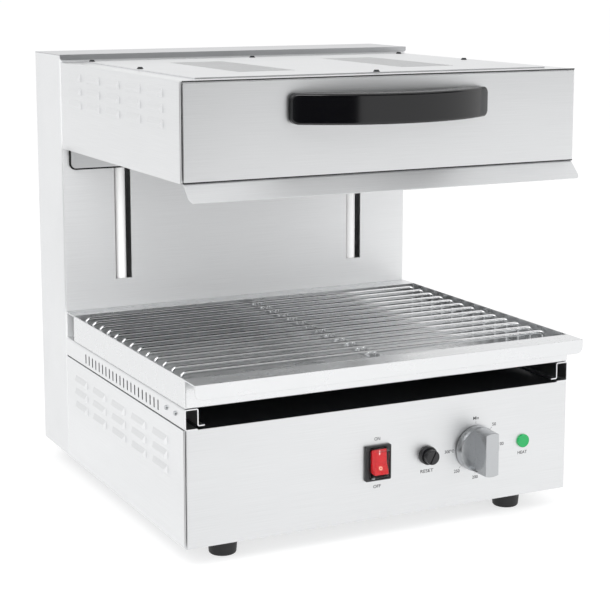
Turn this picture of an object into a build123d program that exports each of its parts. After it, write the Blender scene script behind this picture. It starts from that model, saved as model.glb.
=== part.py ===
from build123d import *
from math import atan2, cos, radians, sin, sqrt
import os

os.makedirs("parts", exist_ok=True)

# Countertop cheese melter with a rise-and-fall grill head.
# Millimetres, +Z up, the front looks along -Y, and the origin is on the counter under the middle.

# --- Overall sizes ----------------------------------------------------------------------------
width = 450.0             # base, tray, head and column are all this wide
body_depth = 450.0        # front panel to back cover
column_depth = 90.0       # the rear housing that carries the head
foot_height = 22.0
base_height = 120.5       # control box
rail_height = 21.5        # ventilated rails that hold the tray off the control box
tray_height = 30.0
working_height = 190.0    # tray rim to the underside of the raised head
head_height = 98.0
cap_rise = 8.0            # the column stands this far above the head
sheet = 1.2               # stainless sheet of all the panels
fold_radius = 2.5         # outside of the folds on the fronts, the head and the column
fold_edge = 0.5           # a front panel's edge runs this far past its fold
fold_inset = 8.0          # flanges behind a front stop this far short of its corners
head_travel = 140.0       # the head comes down this far

# --- Clearances -------------------------------------------------------------------------------
head_gap = 3.0            # back of the head to the face of the column
seam_gap = 1.0            # shadow gap between a front panel and the side panels behind it
panel_gap = 0.6           # shadow gap above and behind the sides of the control box
lip_gap = 0.9             # shadow gap between the head's front and the lip under it
glide_gap = 0.2           # under the tray, and under the rack's legs
tray_back_gap = 0.5       # rear flange of the tray to the column
running_gap = 0.05        # radial, between a shaft and its bearing
fit_gap = 0.1             # between fixed pieces that are pushed together
swing_gap = 0.5           # round the rocker and the push button

# --- Louvres and vents ------------------------------------------------------------------------
louvre_length = 38.0
louvre_height = 9.5
louvre_rise = 2.8         # how far a louvre stands out of its panel
louvre_crest = 3.2        # height of the flat top of a louvre
louvre_slope = 2.6        # run of a louvre's sloped ends
louvre_gauge = 0.8        # sheet left after pressing
louvre_pitch = 60.5
louvre_row_pitch = 15.1
louvre_rows = 3
louvre_margin = 25.0       # a louvre keeps at least this far from the ends of its side
louvre_offset = 7.0        # middle of the field behind the middle of the side
base_louvre_height = 84.5  # middle row above the base's underside
head_louvre_height = 69.0  # middle row above the head's underside
rail_slot_width = 3.0
rail_slot_height = 11.0
rail_slot_pitch = 11.04
rail_slot_count = 21
rail_slot_from_front = 181.0
rail_slot_middle = 9.9     # above the rail's underside

# --- Rails ------------------------------------------------------------------------------------
rail_width = 14.5          # outer wall to inner web
rail_floor_flange = 13.0
rail_fold_radius = 2.0     # outside of its folds
rail_foot = 6.0
rail_foot_lift = 3.5       # the inner foot hangs this far above the deck
rail_screw_from_front = 36.3
rail_screw_pitch = 23.8
rail_screw_height = 12.5

# --- Tray and rack ----------------------------------------------------------------------------
tray_rear_flange = 27.0    # back of the tray to the column's face
tray_lip_reach = 26.7
tray_lip_drop = 15.0
tray_lip_corner = 7.0
tray_fold_radius = 2.0     # outside of its upright and lower folds
tray_travel = 250.0
rack_side_gap = 6.8        # outside of the legs to the tray's walls
rack_wire = 4.0            # wire diameter
rack_wire_bend = 6.0       # radius at the ends of a wire, which turn down into its legs
rack_bar = 5.0             # diameter of the two bars under the wires
rack_wire_pitch = 23.7
rack_rear_margin = 12.0    # the last wire keeps at least this far from the tray's back
rack_first_wire = 32.6     # behind the front
rack_overhang = 6.0        # bars run this far past the first and last wire
rack_weld = 0.5            # depth that a wire sinks into its bars
rack_middle_gap = 7.0      # between the two middle bars
rack_lift = 25.0

# --- Head -------------------------------------------------------------------------------------
lip_reach = 15.3           # the front lip leans forward this far
lip_drop = 16.6
lip_flange = 12.0         # the lip's fold behind the head's front
lip_inset = 2.0
lip_corner = 5.0
head_rim = 22.0            # folded rim round the head's top cover
cover_margin = 11.0        # the cover overlaps the rim's opening by this much
cover_corner = 3.0
cover_screw_inset = 5.5
cover_slot_width = 3.4
cover_slot_length = 66.0
cover_slot_pitch = 9.0
cover_slot_count = 21
cover_slot_from_middle = 95.0
back_plate_inset = 9.6     # narrower than the head, each way
back_plate_drop = 23.5     # below the head
back_plate_top = 4.0       # below the head's top
back_plate_corner = 6.0
front_return = 12.0        # flange behind each end of the head's front, under the shell's top

reflector_height = 45.0
reflector_gauge = 1.0
reflector_flange = 9.0
reflector_slope = 48.0     # run of the sloped sides
element_diameter = 8.0
element_height = 22.0      # tube axis above the head's underside
element_margin = 16.8      # end of an element to the end of the pan's floor
element_leg_gap = 56.0     # between the two legs of a hairpin
element_spacing = 130.0    # between the middles of the two hairpins
element_rise = 58.0        # the cold ends stand this far above the tube
element_bend = 14.0
clip_gauge = 1.5
clip_edge = 9.0            # clip beyond the tube, each way
clip_pitch = 110.0
bush_radius = 7.0
bush_height = 9.0
insulation_height = 14.0
insulation_margin = 12.0

handle_length = 225.0
handle_height = 30.5
handle_reach = 45.0
handle_middle = 67.8       # above the head's underside
handle_foot = 30.5
handle_end = 6.0           # depth of the handle's ends
handle_grip = 14.0         # thickness in the middle
handle_corner = 7.0
handle_round = 2.5
handle_bolt_inset = 15.5

# --- Lifting gear -----------------------------------------------------------------------------
rod_from_side = 72.5
rod_diameter = 12.0
rod_set_back = 9.0         # rod axis behind the column's face
slot_width = 20.0
slot_bottom = 33.5         # above the tray's rim
slot_top_margin = 28.0     # below the column's top
clamp_width = 30.0
clamp_height = 14.0
clamp_back = 11.0          # clamp behind the rod's axis
clamp_slot_gap = 5.0       # clamp to the end of the slot
slider_width = 17.6
slider_height = 84.0
slider_below = 12.0        # slider below the head's underside
slider_bolt_low = 23.5     # above the slider's foot
slider_bolt_high = 65.5
slider_back = 14.0         # slider behind the rod's axis
bearing_wall = 1.5
bearing_length = 20.0
slider_bore_relief = 0.6
yoke_gauge = 3.0
yoke_height = 44.0
yoke_flange = 14.0
yoke_from_slider_foot = 22.0
yoke_overhang = 12.0
yoke_notch = 27.0          # the yoke's flanges stop this far from the strut
strut_from_yoke = 15.0     # strut axis behind the yoke's web
strut_diameter = 22.0
strut_wall = 2.0
strut_rod_diameter = 8.0
strut_length = 186.0
strut_foot = 13.0          # lower eye to the end of the tube
strut_eye = 27.0           # lower eye above the base's underside
strut_guide = 12.0         # gland at the tube's mouth
strut_piston = 8.0
strut_end_gap = 8.0        # piston to the gland with the head raised
piston_gap = 0.3
strut_plate = 12.0         # the foot's plate reaches this far past the pin, each way
eye_width = 8.0
eye_radius = 7.0
pin_diameter = 6.0
pin_head = 1.5             # height of a pin's head, and its reach past the pin
pin_past_ear = 2.0
ear_gauge = 3.0
ear_radius = 9.0

# --- Column -----------------------------------------------------------------------------------
column_return = 14.0
cap_lip_drop = 6.0
cap_lip_corner = 2.5
back_slot_length = 46.0
back_slot_width = 4.0
back_slot_pitch = 11.0
back_slot_rows = 6
back_slot_columns = 4
back_slot_column_pitch = 84.0
back_vent_from_end = 70.0  # middle of the upper field of slots below the cover's top
back_vent_low = 125.0      # middle of the lower field above the cover's foot
back_screw_inset = 7.0
back_screw_rows = 4

# --- Base -------------------------------------------------------------------------------------
floor_flange = 12.0
deck_flange = 12.0
floor_slot_length = 60.0
floor_slot_width = 4.0
floor_slot_spread = 132.0  # between the middles of the two fields of slots
floor_slot_pitch = 12.0
floor_slot_count = 9
foot_top_radius = 16.0
foot_bottom_radius = 14.0
foot_round = 2.5
foot_inset = 54.0          # foot axis in from the sides
foot_from_front = 35.0
foot_from_back = 35.0
foot_recess_radius = 7.0
foot_recess = 8.0
bolt_diameter = 6.0
nut_radius = 5.6
nut_height = 5.0
bolt_head_height = 4.0
bolt_past_nut = 2.0

# --- Controls ---------------------------------------------------------------------------------
control_height = 60.4      # above the base's underside
control_pitch = 59.9
lamp_from_side = 56.5
knob_radius = 24.5
knob_gap = 1.0             # behind the skirt
knob_rim = 6.0
knob_bevel = 3.0
knob_face_radius = 23.6
knob_grip_depth = 23.5     # grip in front of the skirt
knob_grip_root = 22.0      # grip's width where it leaves the skirt
knob_grip_front = 15.5
knob_grip_waist = 12.0     # between the two finger hollows
knob_hollow_radius = 22.6
knob_front_round = 0.7
shaft_diameter = 6.0
shaft_in_knob = 16.0
shaft_in_thermostat = 10.0
thermostat_bush = 10.0
thermostat_size = 38.0
body_corner = 2.5          # of the thermostat's and the cut-out's bodies
thermostat_depth = 20.0
switch_width = 30.0
switch_height = 37.5
switch_bezel = 3.0
switch_corner = 1.6
switch_depth = 26.0
switch_hole_width = 25.0
switch_hole_height = 32.0
rocker_width = 16.5
rocker_height = 26.0
rocker_reach = 7.5         # ends of the rocker in front of the panel, before it tilts
rocker_dip = 2.2           # middle of the rocker below its ends
rocker_back = 7.0          # behind the panel's face
rocker_foot = 13.0         # height of the rocker's back
rocker_pivot = 2.0         # pivot behind the panel's face
pivot_radius = 1.5
pivot_reach = 1.2          # a pivot pin's reach into the rocker
rocker_tilt = 12.0         # each way from level
rocker_well = 14.0
boot_wall = 1.0
boot_gap = 0.6
boot_draft = 2.5           # each end of the boot leans in this much
boot_corner = 3.0
boot_ease = 1.0            # the boot's foot is this much wider than the rocker's well
reset_ring_radius = 10.0
reset_ring_depth = 5.0
reset_ring_floor = 1.0
reset_cap_radius = 7.8
reset_cap_reach = 13.0
reset_travel = 3.0
reset_stem = 5.0
reset_stem_reach = 4.0     # the stem's reach into the cut-out
reset_ring_round = 1.0
reset_cap_round = 0.8
reset_neck = 12.0
reset_neck_length = 7.0
reset_slot_width = 1.6
reset_slot_depth = 1.2
reset_slot_angle = 62.0
cutout_size = 24.0
cutout_depth = 22.0
lamp_radius = 7.3
lamp_depth = 2.8
lamp_round = 1.2
lamp_neck = 11.6
lamp_body_length = 26.0
lamp_nut = 3.0             # height of the nut behind the panel
lamp_nut_radius = 8.8
spade_width = 6.3
spade_gauge = 0.8
spade_length = 8.0
spade_column_pitch = 8.4
spade_row_pitch = 10.0
terminal_from_side = 95.0
terminal_corner = 2.0
terminal_length = 48.0
terminal_width = 20.0
terminal_height = 16.0
terminal_ways = 3
terminal_well = 7.0
terminal_well_depth = 6.0
terminal_screw_radius = 3.0
terminal_screw_height = 3.0
gland_reach = 14.0         # behind the back cover
gland_from_side = 75.0
gland_height = 52.0        # above the base's underside
gland_radius = 10.0
gland_bore = 4.5
gland_mouth = 7.0          # outer radius at the cord's end
gland_nut_height = 4.0
gland_flange = 13.0
gland_flange_depth = 3.5
gland_neck = 8.0
gland_inside = 12.0

# --- Fasteners --------------------------------------------------------------------------------
screw_head_radius = 3.6
screw_head_height = 2.0
screw_radius = 2.0
screw_length = 8.0
screw_crown = 2.2          # radius of the top of a cover screw's head
small_head_radius = 2.4
small_head_height = 1.2
small_screw_radius = 1.2
small_screw_length = 4.0
machine_screw = 4.0        # diameter of the screws in the sliders and the handle

# --- Levels and planes that follow from the sizes ----------------------------------------------
half_width = width / 2
inner_half = half_width - sheet
y_front = -(body_depth + gland_reach - handle_reach) / 2
fold_depth = fold_radius + fold_edge
y_seam = y_front + fold_depth + seam_gap       # the sides begin here
y_back = y_front + body_depth
y_column = y_back - column_depth
y_head_back = y_column - head_gap
z_base = foot_height
z_deck = z_base + base_height
z_tray = z_deck + rail_height
z_rim = z_tray + glide_gap + tray_height
z_head = z_rim + working_height
z_head_top = z_head + head_height
z_top = z_head_top + cap_rise

rod_x = half_width - rod_from_side
rod_radius = rod_diameter / 2
y_rod = y_column + rod_set_back
z_slot = z_rim + slot_bottom
z_slot_top = z_top - slot_top_margin
z_slider = z_head - slider_below
slider_y_back = y_rod + slider_back
head_depth = y_head_back - 2 * sheet - y_front     # front face to the inside of the rear wall
gland_x = gland_from_side - half_width
terminal_x = terminal_from_side - half_width
lamp_x = half_width - lamp_from_side
knob_x = lamp_x - control_pitch
reset_x = knob_x - control_pitch
switch_x = reset_x - control_pitch

MIN = Align.MIN
MID = Align.CENTER
MAX = Align.MAX


def front_spot(x, height, proud=0.0):
    """Plane parallel to the front panel at a spot on it, looking outwards."""
    return Plane(origin=(x, y_front - proud, z_base + height), x_dir=(1, 0, 0), z_dir=(0, -1, 0))


def back_spot(x, z, y=None):
    """Plane that looks out of the back of the object, with its x to the viewer's right."""
    return Plane(origin=(x, y_back if y is None else y, z), x_dir=(-1, 0, 0), z_dir=(0, 1, 0))


def side_spot(side, from_front, z):
    """Plane on the outer face of a side, looking outwards: side is -1 on the left, 1 on the right."""
    origin = (side * half_width, y_front + from_front, z)
    return Plane(origin=origin, x_dir=(0, side, 0), z_dir=(side, 0, 0))


def level(z, x=0.0, y=0.0):
    """Horizontal plane at a height."""
    return Plane(origin=(x, y, z))


def slab(x_range, y_range, z_range, mode=Mode.ADD):
    """Flat rectangular piece between two corners, in the part being built."""
    spans = [high - low for low, high in (x_range, y_range, z_range)]
    with Locations((x_range[0], y_range[0], z_range[0])):
        Box(*spans, align=(MIN, MIN, MIN), mode=mode)


def rod_between(plane, radius, length, mode=Mode.ADD):
    """Round bar that starts on a plane and runs along its normal, or back from it."""
    with Locations(plane):
        Cylinder(radius, abs(length), align=(MID, MID, MIN if length > 0 else MAX), mode=mode)


def keep(builder, name):
    """Labels a finished piece and writes it."""
    builder.part.label = name
    export_step(builder.part, "parts/" + name + ".step")


# --- Louvre: drawn flat, x along the panel, y up, z out of the sheet -----------------------------
crest_middle = -(louvre_height - louvre_crest) / 2 + louvre_gauge
crest_length = louvre_length - 2 * louvre_slope

with BuildPart() as louvre_hood:
    with BuildSketch():
        Rectangle(louvre_length, louvre_height)
    with BuildSketch(Plane.XY.offset(louvre_rise)):
        with Locations((0, crest_middle)):
            Rectangle(crest_length, louvre_crest)
    loft()

with BuildPart() as louvre_hollow:
    with BuildSketch(Plane.XY.offset(-sheet)):
        Rectangle(louvre_length - 2 * louvre_gauge, louvre_height - 2 * louvre_gauge)
    with BuildSketch(Plane.XY.offset(louvre_rise - louvre_gauge)):
        with Locations((0, crest_middle)):
            Rectangle(crest_length - louvre_gauge, louvre_crest - louvre_gauge)
    loft()
    with BuildSketch(Plane.XY.offset(louvre_gauge / 2)):
        with Locations((0, -louvre_height / 2)):
            Rectangle(crest_length - louvre_gauge, louvre_crest)
    extrude(amount=louvre_rise - 1.5 * louvre_gauge)


side_depth = body_depth - column_depth
louvre_room = side_depth - 2 * louvre_margin - louvre_length
louvre_columns = int(louvre_room // louvre_pitch) + 1
louvre_from_front = side_depth / 2 + louvre_offset


def press_louvres(side, z):
    """The field of louvres on a side panel, in the part being built."""
    with Locations(side_spot(side, louvre_from_front, z)):
        with GridLocations(louvre_pitch, louvre_row_pitch, louvre_columns, louvre_rows):
            add(louvre_hood.part)
            add(louvre_hollow.part, mode=Mode.SUBTRACT)


# === Base =======================================================================================
def base_side_panel(side):
    """Side of the control box, one flat sheet with its louvres."""
    with BuildPart() as panel:
        edges = sorted((side * inner_half, side * half_width))
        slab(edges, (y_seam, y_column - panel_gap), (z_base, z_deck - panel_gap))
        press_louvres(side, z_base + base_louvre_height)
    return panel


base_left_panel = base_side_panel(-1)
keep(base_left_panel, "base_left_panel")
base_right_panel = base_side_panel(1)
keep(base_right_panel, "base_right_panel")

with BuildPart() as front_panel:
    with BuildSketch(level(z_base)) as front_outline:
        with Locations((0, y_front)):
            Rectangle(width, fold_depth, align=(MID, MIN))
        fillet(front_outline.vertices().group_by(Axis.Y)[0], fold_radius)
    extrude(amount=base_height)
    with BuildSketch(level(z_base)) as front_inside:
        with Locations((0, y_front + sheet)):
            Rectangle(2 * inner_half, fold_depth, align=(MID, MIN))
        fillet(front_inside.vertices().group_by(Axis.Y)[0], fold_radius - sheet)
    extrude(amount=base_height, mode=Mode.SUBTRACT)
    with BuildSketch(front_spot(0, 0)):
        with Locations((switch_x, control_height)):
            Rectangle(switch_hole_width, switch_hole_height)
        with Locations((reset_x, control_height)):
            Circle(reset_neck / 2 + fit_gap)
        with Locations((knob_x, control_height)):
            Circle(thermostat_bush / 2 + fit_gap)
        with Locations((lamp_x, control_height)):
            Circle(lamp_neck / 2 + fit_gap)
    extrude(amount=-sheet, mode=Mode.SUBTRACT)
keep(front_panel, "front_panel")

# the deck and the floor are narrower where the front's folded edges stand
fold_half = inner_half - fold_inset
front_strip = (y_front + sheet, y_seam)
front_fold = (y_front + sheet, y_front + 2 * sheet)

with BuildPart() as base_deck:
    slab((-inner_half, inner_half), (y_seam, y_column), (z_deck - sheet, z_deck))
    slab((-fold_half, fold_half), front_strip, (z_deck - sheet, z_deck))
    slab((-fold_half, fold_half), front_fold, (z_deck - deck_flange, z_deck))
    for side in (-1, 1):
        flange = sorted((side * inner_half, side * (inner_half - sheet)))
        slab(flange, (y_seam + fold_inset, y_column), (z_deck - deck_flange, z_deck))
keep(base_deck, "base_deck")

foot_spots = [
    (side * (half_width - foot_inset), y)
    for y in (y_front + foot_from_front, y_back - foot_from_back)
    for side in (-1, 1)
]
foot_names = ["foot_front_left", "foot_front_right", "foot_rear_left", "foot_rear_right"]

with BuildPart() as base_floor:
    slab((-inner_half, inner_half), (y_seam, y_back - sheet), (z_base, z_base + sheet))
    slab((-fold_half, fold_half), front_strip, (z_base, z_base + sheet))
    slab((-fold_half, fold_half), front_fold, (z_base, z_base + floor_flange))
    for side in (-1, 1):
        flange = sorted((side * inner_half, side * (inner_half - sheet)))
        slab(flange, (y_seam + fold_inset, y_column), (z_base, z_base + floor_flange))
    with BuildSketch(level(z_base, y=(y_front + y_column) / 2)):
        with GridLocations(floor_slot_spread, floor_slot_pitch, 2, floor_slot_count):
            SlotOverall(floor_slot_length, floor_slot_width)
    extrude(amount=sheet, mode=Mode.SUBTRACT)
    with BuildSketch(level(z_base)):
        with Locations(*foot_spots):
            Circle(bolt_diameter / 2 + fit_gap)
    extrude(amount=sheet, mode=Mode.SUBTRACT)
keep(base_floor, "base_floor")

for foot_name, (foot_x, foot_y) in zip(foot_names, foot_spots):
    with BuildPart() as foot:
        with BuildSketch(level(0, foot_x, foot_y)):
            Circle(foot_bottom_radius)
        with BuildSketch(level(foot_height, foot_x, foot_y)):
            Circle(foot_top_radius)
        loft()
        fillet(foot.edges().group_by(Axis.Z)[0], foot_round)
        rod_between(level(0, foot_x, foot_y), foot_recess_radius, foot_recess, Mode.SUBTRACT)
        through = bolt_diameter / 2 + fit_gap
        rod_between(level(0, foot_x, foot_y), through, foot_height, Mode.SUBTRACT)
    keep(foot, foot_name)

with BuildPart() as foot_bolts:
    head_drop = bolt_head_height
    shank = foot_height - foot_recess + sheet + nut_height + bolt_past_nut
    for foot_x, foot_y in foot_spots:
        head = level(foot_recess - head_drop, foot_x, foot_y)
        rod_between(head, nut_radius, head_drop)
        rod_between(level(foot_recess, foot_x, foot_y), bolt_diameter / 2, shank)
        with BuildSketch(level(z_base + sheet, foot_x, foot_y)):
            RegularPolygon(nut_radius, 6)
        extrude(amount=nut_height)
keep(foot_bolts, "foot_bolts")


# --- Rails: one strip folded five times, drawn as seen from the front --------------------------
def rail(side):
    """Ventilated strip along one side that holds the tray above the control box."""
    x_out = half_width
    x_web = half_width - rail_width
    z_foot = z_deck + rail_foot_lift
    with BuildPart() as strip:
        with BuildSketch(Plane(origin=(0, y_front, 0), x_dir=(1, 0, 0), z_dir=(0, -1, 0))):
            with BuildLine():
                FilletPolyline(
                    (x_out - rail_floor_flange, z_deck + sheet / 2),
                    (x_out - sheet / 2, z_deck + sheet / 2),
                    (x_out - sheet / 2, z_tray - sheet / 2),
                    (x_web + sheet / 2, z_tray - sheet / 2),
                    (x_web + sheet / 2, z_foot + sheet / 2),
                    (x_web - rail_foot, z_foot + sheet / 2),
                    radius=rail_fold_radius - sheet / 2,
                )
                offset(amount=sheet / 2, side=Side.BOTH, kind=Kind.INTERSECTION)
            make_face()
        extrude(amount=-(y_column - y_front))
        with BuildSketch(side_spot(1, rail_slot_from_front, z_deck + rail_slot_middle)):
            with GridLocations(rail_slot_pitch, 0, rail_slot_count, 1):
                SlotOverall(rail_slot_height, rail_slot_width, rotation=90)
        extrude(amount=-2 * sheet, mode=Mode.SUBTRACT)
        with BuildSketch(side_spot(1, rail_screw_from_front, z_deck + rail_screw_height)):
            with GridLocations(rail_screw_pitch, 0, 2, 1):
                Circle(small_screw_radius + fit_gap)
        extrude(amount=-2 * sheet, mode=Mode.SUBTRACT)
        if side < 0:
            mirror(about=Plane.YZ, mode=Mode.REPLACE)
    return strip


vent_strip_left = rail(-1)
keep(vent_strip_left, "vent_strip_left")
vent_strip_right = rail(1)
keep(vent_strip_right, "vent_strip_right")

with BuildPart() as strip_screws:
    for side in (-1, 1):
        spot = side_spot(side, rail_screw_from_front, z_deck + rail_screw_height)
        with BuildSketch(spot):
            with GridLocations(rail_screw_pitch, 0, 2, 1):
                Circle(small_head_radius)
        extrude(amount=small_head_height)
        with BuildSketch(spot):
            with GridLocations(rail_screw_pitch, 0, 2, 1):
                Circle(small_screw_radius)
        extrude(amount=-(sheet + small_screw_length))
keep(strip_screws, "strip_screws")

# === Column =====================================================================================
z_wall_top = z_top - sheet

with BuildPart() as column_shell:
    wall_depth = column_depth - sheet
    with BuildSketch(level(z_base)) as column_outline:
        with Locations((0, y_column)):
            Rectangle(width, wall_depth, align=(MID, MIN))
        fillet(column_outline.vertices().group_by(Axis.Y)[0], fold_radius)
    extrude(amount=z_wall_top - z_base)
    with BuildSketch(level(z_base)) as column_inside:
        with Locations((0, y_column + sheet)):
            Rectangle(2 * inner_half, wall_depth - 2 * sheet, align=(MID, MIN))
        fillet(column_inside.vertices().group_by(Axis.Y)[0], fold_radius - sheet)
    extrude(amount=z_wall_top - z_base, mode=Mode.SUBTRACT)
    opening = half_width - column_return
    slab((-opening, opening), (y_back - 2 * sheet, y_back), (z_base, z_wall_top), Mode.SUBTRACT)
    # the control box opens into the column under the deck
    front_wall = (y_column, y_column + sheet)
    slab((-opening, opening), front_wall, (z_base, z_deck - deck_flange), Mode.SUBTRACT)
    # the floor sits in the bottom of the shell
    slab((-inner_half, inner_half), (y_column, y_back - sheet), (z_base, z_base + sheet), Mode.SUBTRACT)
    for side in (-1, 1):
        edges = (side * rod_x - slot_width / 2, side * rod_x + slot_width / 2)
        slab(edges, front_wall, (z_slot, z_slot_top), Mode.SUBTRACT)
    screw_x = half_width - back_screw_inset
    screw_span = z_wall_top - z_base - 2 * back_screw_inset
    screw_pitch = screw_span / (back_screw_rows - 1)
    screw_middle = (z_wall_top + z_base) / 2
    with BuildSketch(back_spot(0, screw_middle)):
        with GridLocations(2 * screw_x, screw_pitch, 2, back_screw_rows):
            Circle(screw_radius + fit_gap)
    extrude(amount=-2 * sheet, mode=Mode.SUBTRACT)
keep(column_shell, "column_shell")

with BuildPart() as column_cap:
    slab((-half_width, half_width), (y_column - sheet, y_back), (z_wall_top, z_top))
    lip_plane = Plane(origin=(0, y_column - sheet, z_top), x_dir=(1, 0, 0), z_dir=(0, -1, 0))
    with BuildSketch(lip_plane) as cap_lip:
        Rectangle(width, cap_lip_drop, align=(MID, MAX))
        fillet(cap_lip.vertices().group_by(Axis.Y)[0], cap_lip_corner)
    extrude(amount=-sheet)
keep(column_cap, "column_cap")

with BuildPart() as back_cover:
    with BuildSketch(back_spot(0, z_base)):
        Rectangle(width, z_wall_top - z_base, align=(MID, MIN))
        with Locations((0, screw_middle - z_base)):
            with GridLocations(2 * screw_x, screw_pitch, 2, back_screw_rows):
                Circle(screw_radius + fit_gap, mode=Mode.SUBTRACT)
        with Locations((0, back_vent_low), (0, z_wall_top - z_base - back_vent_from_end)):
            with GridLocations(back_slot_column_pitch, back_slot_pitch, back_slot_columns, back_slot_rows):
                SlotOverall(back_slot_length, back_slot_width, mode=Mode.SUBTRACT)
        with Locations((-gland_x, gland_height)):
            Circle(gland_neck + fit_gap, mode=Mode.SUBTRACT)
    extrude(amount=-sheet)
keep(back_cover, "back_cover")

with BuildPart() as back_cover_screws:
    with BuildSketch(back_spot(0, screw_middle)):
        with GridLocations(2 * screw_x, screw_pitch, 2, back_screw_rows):
            Circle(screw_head_radius)
    extrude(amount=screw_head_height)
    with BuildSketch(back_spot(0, screw_middle)):
        with GridLocations(2 * screw_x, screw_pitch, 2, back_screw_rows):
            Circle(screw_radius)
    extrude(amount=-screw_length)
keep(back_cover_screws, "back_cover_screws")

# === Lifting gear ===============================================================================
z_clamp_low = z_slot - clamp_slot_gap - clamp_height
z_clamp_high = z_slot_top + clamp_slot_gap
clamp_spots = [(side, z) for side in (-1, 1) for z in (z_clamp_low, z_clamp_high)]

with BuildPart() as guide_rods:
    for side in (-1, 1):
        foot_of_rod = level(z_clamp_low, side * rod_x, y_rod)
        rod_between(foot_of_rod, rod_radius, z_clamp_high + clamp_height - z_clamp_low)
keep(guide_rods, "guide_rods")

with BuildPart() as rod_clamps:
    for side, z in clamp_spots:
        edges = (side * rod_x - clamp_width / 2, side * rod_x + clamp_width / 2)
        slab(edges, (y_column + sheet, y_rod + clamp_back), (z, z + clamp_height))
        bore = rod_radius + fit_gap
        rod_between(level(z, side * rod_x, y_rod), bore, clamp_height, Mode.SUBTRACT)
keep(rod_clamps, "rod_clamps")

bolt_heights = (z_slider + slider_bolt_low, z_slider + slider_bolt_high)

with BuildPart() as sliders:
    for side in (-1, 1):
        edges = (side * rod_x - slider_width / 2, side * rod_x + slider_width / 2)
        slab(edges, (y_head_back, slider_y_back), (z_slider, z_slider + slider_height))
        foot_of_bore = level(z_slider, side * rod_x, y_rod)
        seat = rod_radius + running_gap + bearing_wall + fit_gap / 2
        rod_between(foot_of_bore, seat, bearing_length, Mode.SUBTRACT)
        relief = rod_radius + slider_bore_relief
        rod_between(foot_of_bore, relief, slider_height, Mode.SUBTRACT)
        upper_seat = level(z_slider + slider_height - bearing_length, side * rod_x, y_rod)
        rod_between(upper_seat, seat, bearing_length, Mode.SUBTRACT)
keep(sliders, "sliders")

with BuildPart() as slider_bushes:
    for side in (-1, 1):
        for z in (z_slider, z_slider + slider_height - bearing_length):
            with BuildSketch(level(z, side * rod_x, y_rod)):
                Circle(rod_radius + running_gap + bearing_wall)
                Circle(rod_radius + running_gap, mode=Mode.SUBTRACT)
            extrude(amount=bearing_length)
keep(slider_bushes, "slider_bushes")

z_yoke = z_slider + yoke_from_slider_foot
yoke_half = rod_x + yoke_overhang
y_strut = slider_y_back + yoke_gauge + strut_from_yoke
z_upper_eye = z_yoke + yoke_height / 2


def ear_spot(side, z):
    """Plane of the inner face of an ear beside one of the strut's eyes, looking away from it."""
    origin = (side * (eye_width / 2 + fit_gap), y_strut, z)
    return Plane(origin=origin, x_dir=(0, side, 0), z_dir=(side, 0, 0))


with BuildPart() as yoke:
    web = (slider_y_back, slider_y_back + yoke_gauge)
    slab((-yoke_half, yoke_half), web, (z_yoke, z_yoke + yoke_height))
    for z in (z_yoke, z_yoke + yoke_height - yoke_gauge):
        reach = (slider_y_back, slider_y_back + yoke_flange)
        for x_range in ((-yoke_half, -yoke_notch), (yoke_notch, yoke_half)):
            slab(x_range, reach, (z, z + yoke_gauge))
    for side in (-1, 1):
        with BuildSketch(ear_spot(side, z_upper_eye)):
            Circle(ear_radius)
            reach = y_strut - slider_y_back - yoke_gauge
            with Locations((-side * reach / 2, 0)):
                Rectangle(reach, 2 * ear_radius)
            Circle(pin_diameter / 2 + fit_gap, mode=Mode.SUBTRACT)
        extrude(amount=ear_gauge)
keep(yoke, "yoke")


def strut_eye_at(z, toward):
    """Flat eye of the gas strut with a stub that runs up (1) or down (-1)."""
    eye_plane = Plane(origin=(-eye_width / 2, y_strut, z), x_dir=(0, 1, 0), z_dir=(1, 0, 0))
    with BuildSketch(eye_plane) as eye:
        Circle(eye_radius)
        with Locations((0, toward * strut_foot / 2)):
            Rectangle(eye_width, strut_foot)
        Circle(pin_diameter / 2 + fit_gap, mode=Mode.SUBTRACT)
    extrude(eye.sketch, amount=eye_width)


z_lower_eye = z_base + strut_eye
z_tube = z_lower_eye + strut_foot
z_mouth = z_tube + strut_length
z_piston = z_mouth - strut_guide - strut_end_gap - strut_piston

with BuildPart() as strut_tube:
    strut_eye_at(z_lower_eye, 1)
    rod_between(level(z_tube, 0, y_strut), strut_diameter / 2, strut_length)
    cavity = level(z_tube + strut_wall, 0, y_strut)
    cavity_length = strut_length - strut_guide - strut_wall
    rod_between(cavity, strut_diameter / 2 - strut_wall, cavity_length, Mode.SUBTRACT)
    mouth_bore = strut_rod_diameter / 2 + running_gap
    rod_between(level(z_mouth - strut_guide, 0, y_strut), mouth_bore, strut_guide, Mode.SUBTRACT)
keep(strut_tube, "strut_tube")

with BuildPart() as strut_rod:
    strut_eye_at(z_upper_eye, -1)
    rod_top = z_upper_eye - strut_foot
    rod_between(level(z_piston, 0, y_strut), strut_rod_diameter / 2, rod_top - z_piston)
    piston_radius = strut_diameter / 2 - strut_wall - piston_gap
    rod_between(level(z_piston, 0, y_strut), piston_radius, strut_piston)
keep(strut_rod, "strut_rod")

pin_length = eye_width + 2 * fit_gap + 2 * ear_gauge


def clevis_pin(z):
    """Headed pin through a pair of ears and the eye between them."""
    with BuildPart() as pin:
        head_face = Plane(origin=(-pin_length / 2, y_strut, z), z_dir=(1, 0, 0))
        rod_between(head_face, pin_diameter / 2, pin_length + pin_past_ear)
        rod_between(head_face, pin_diameter / 2 + pin_head, -pin_head)
    return pin


strut_top_pin = clevis_pin(z_upper_eye)
keep(strut_top_pin, "strut_top_pin")
strut_bottom_pin = clevis_pin(z_lower_eye)
keep(strut_bottom_pin, "strut_bottom_pin")

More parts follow.
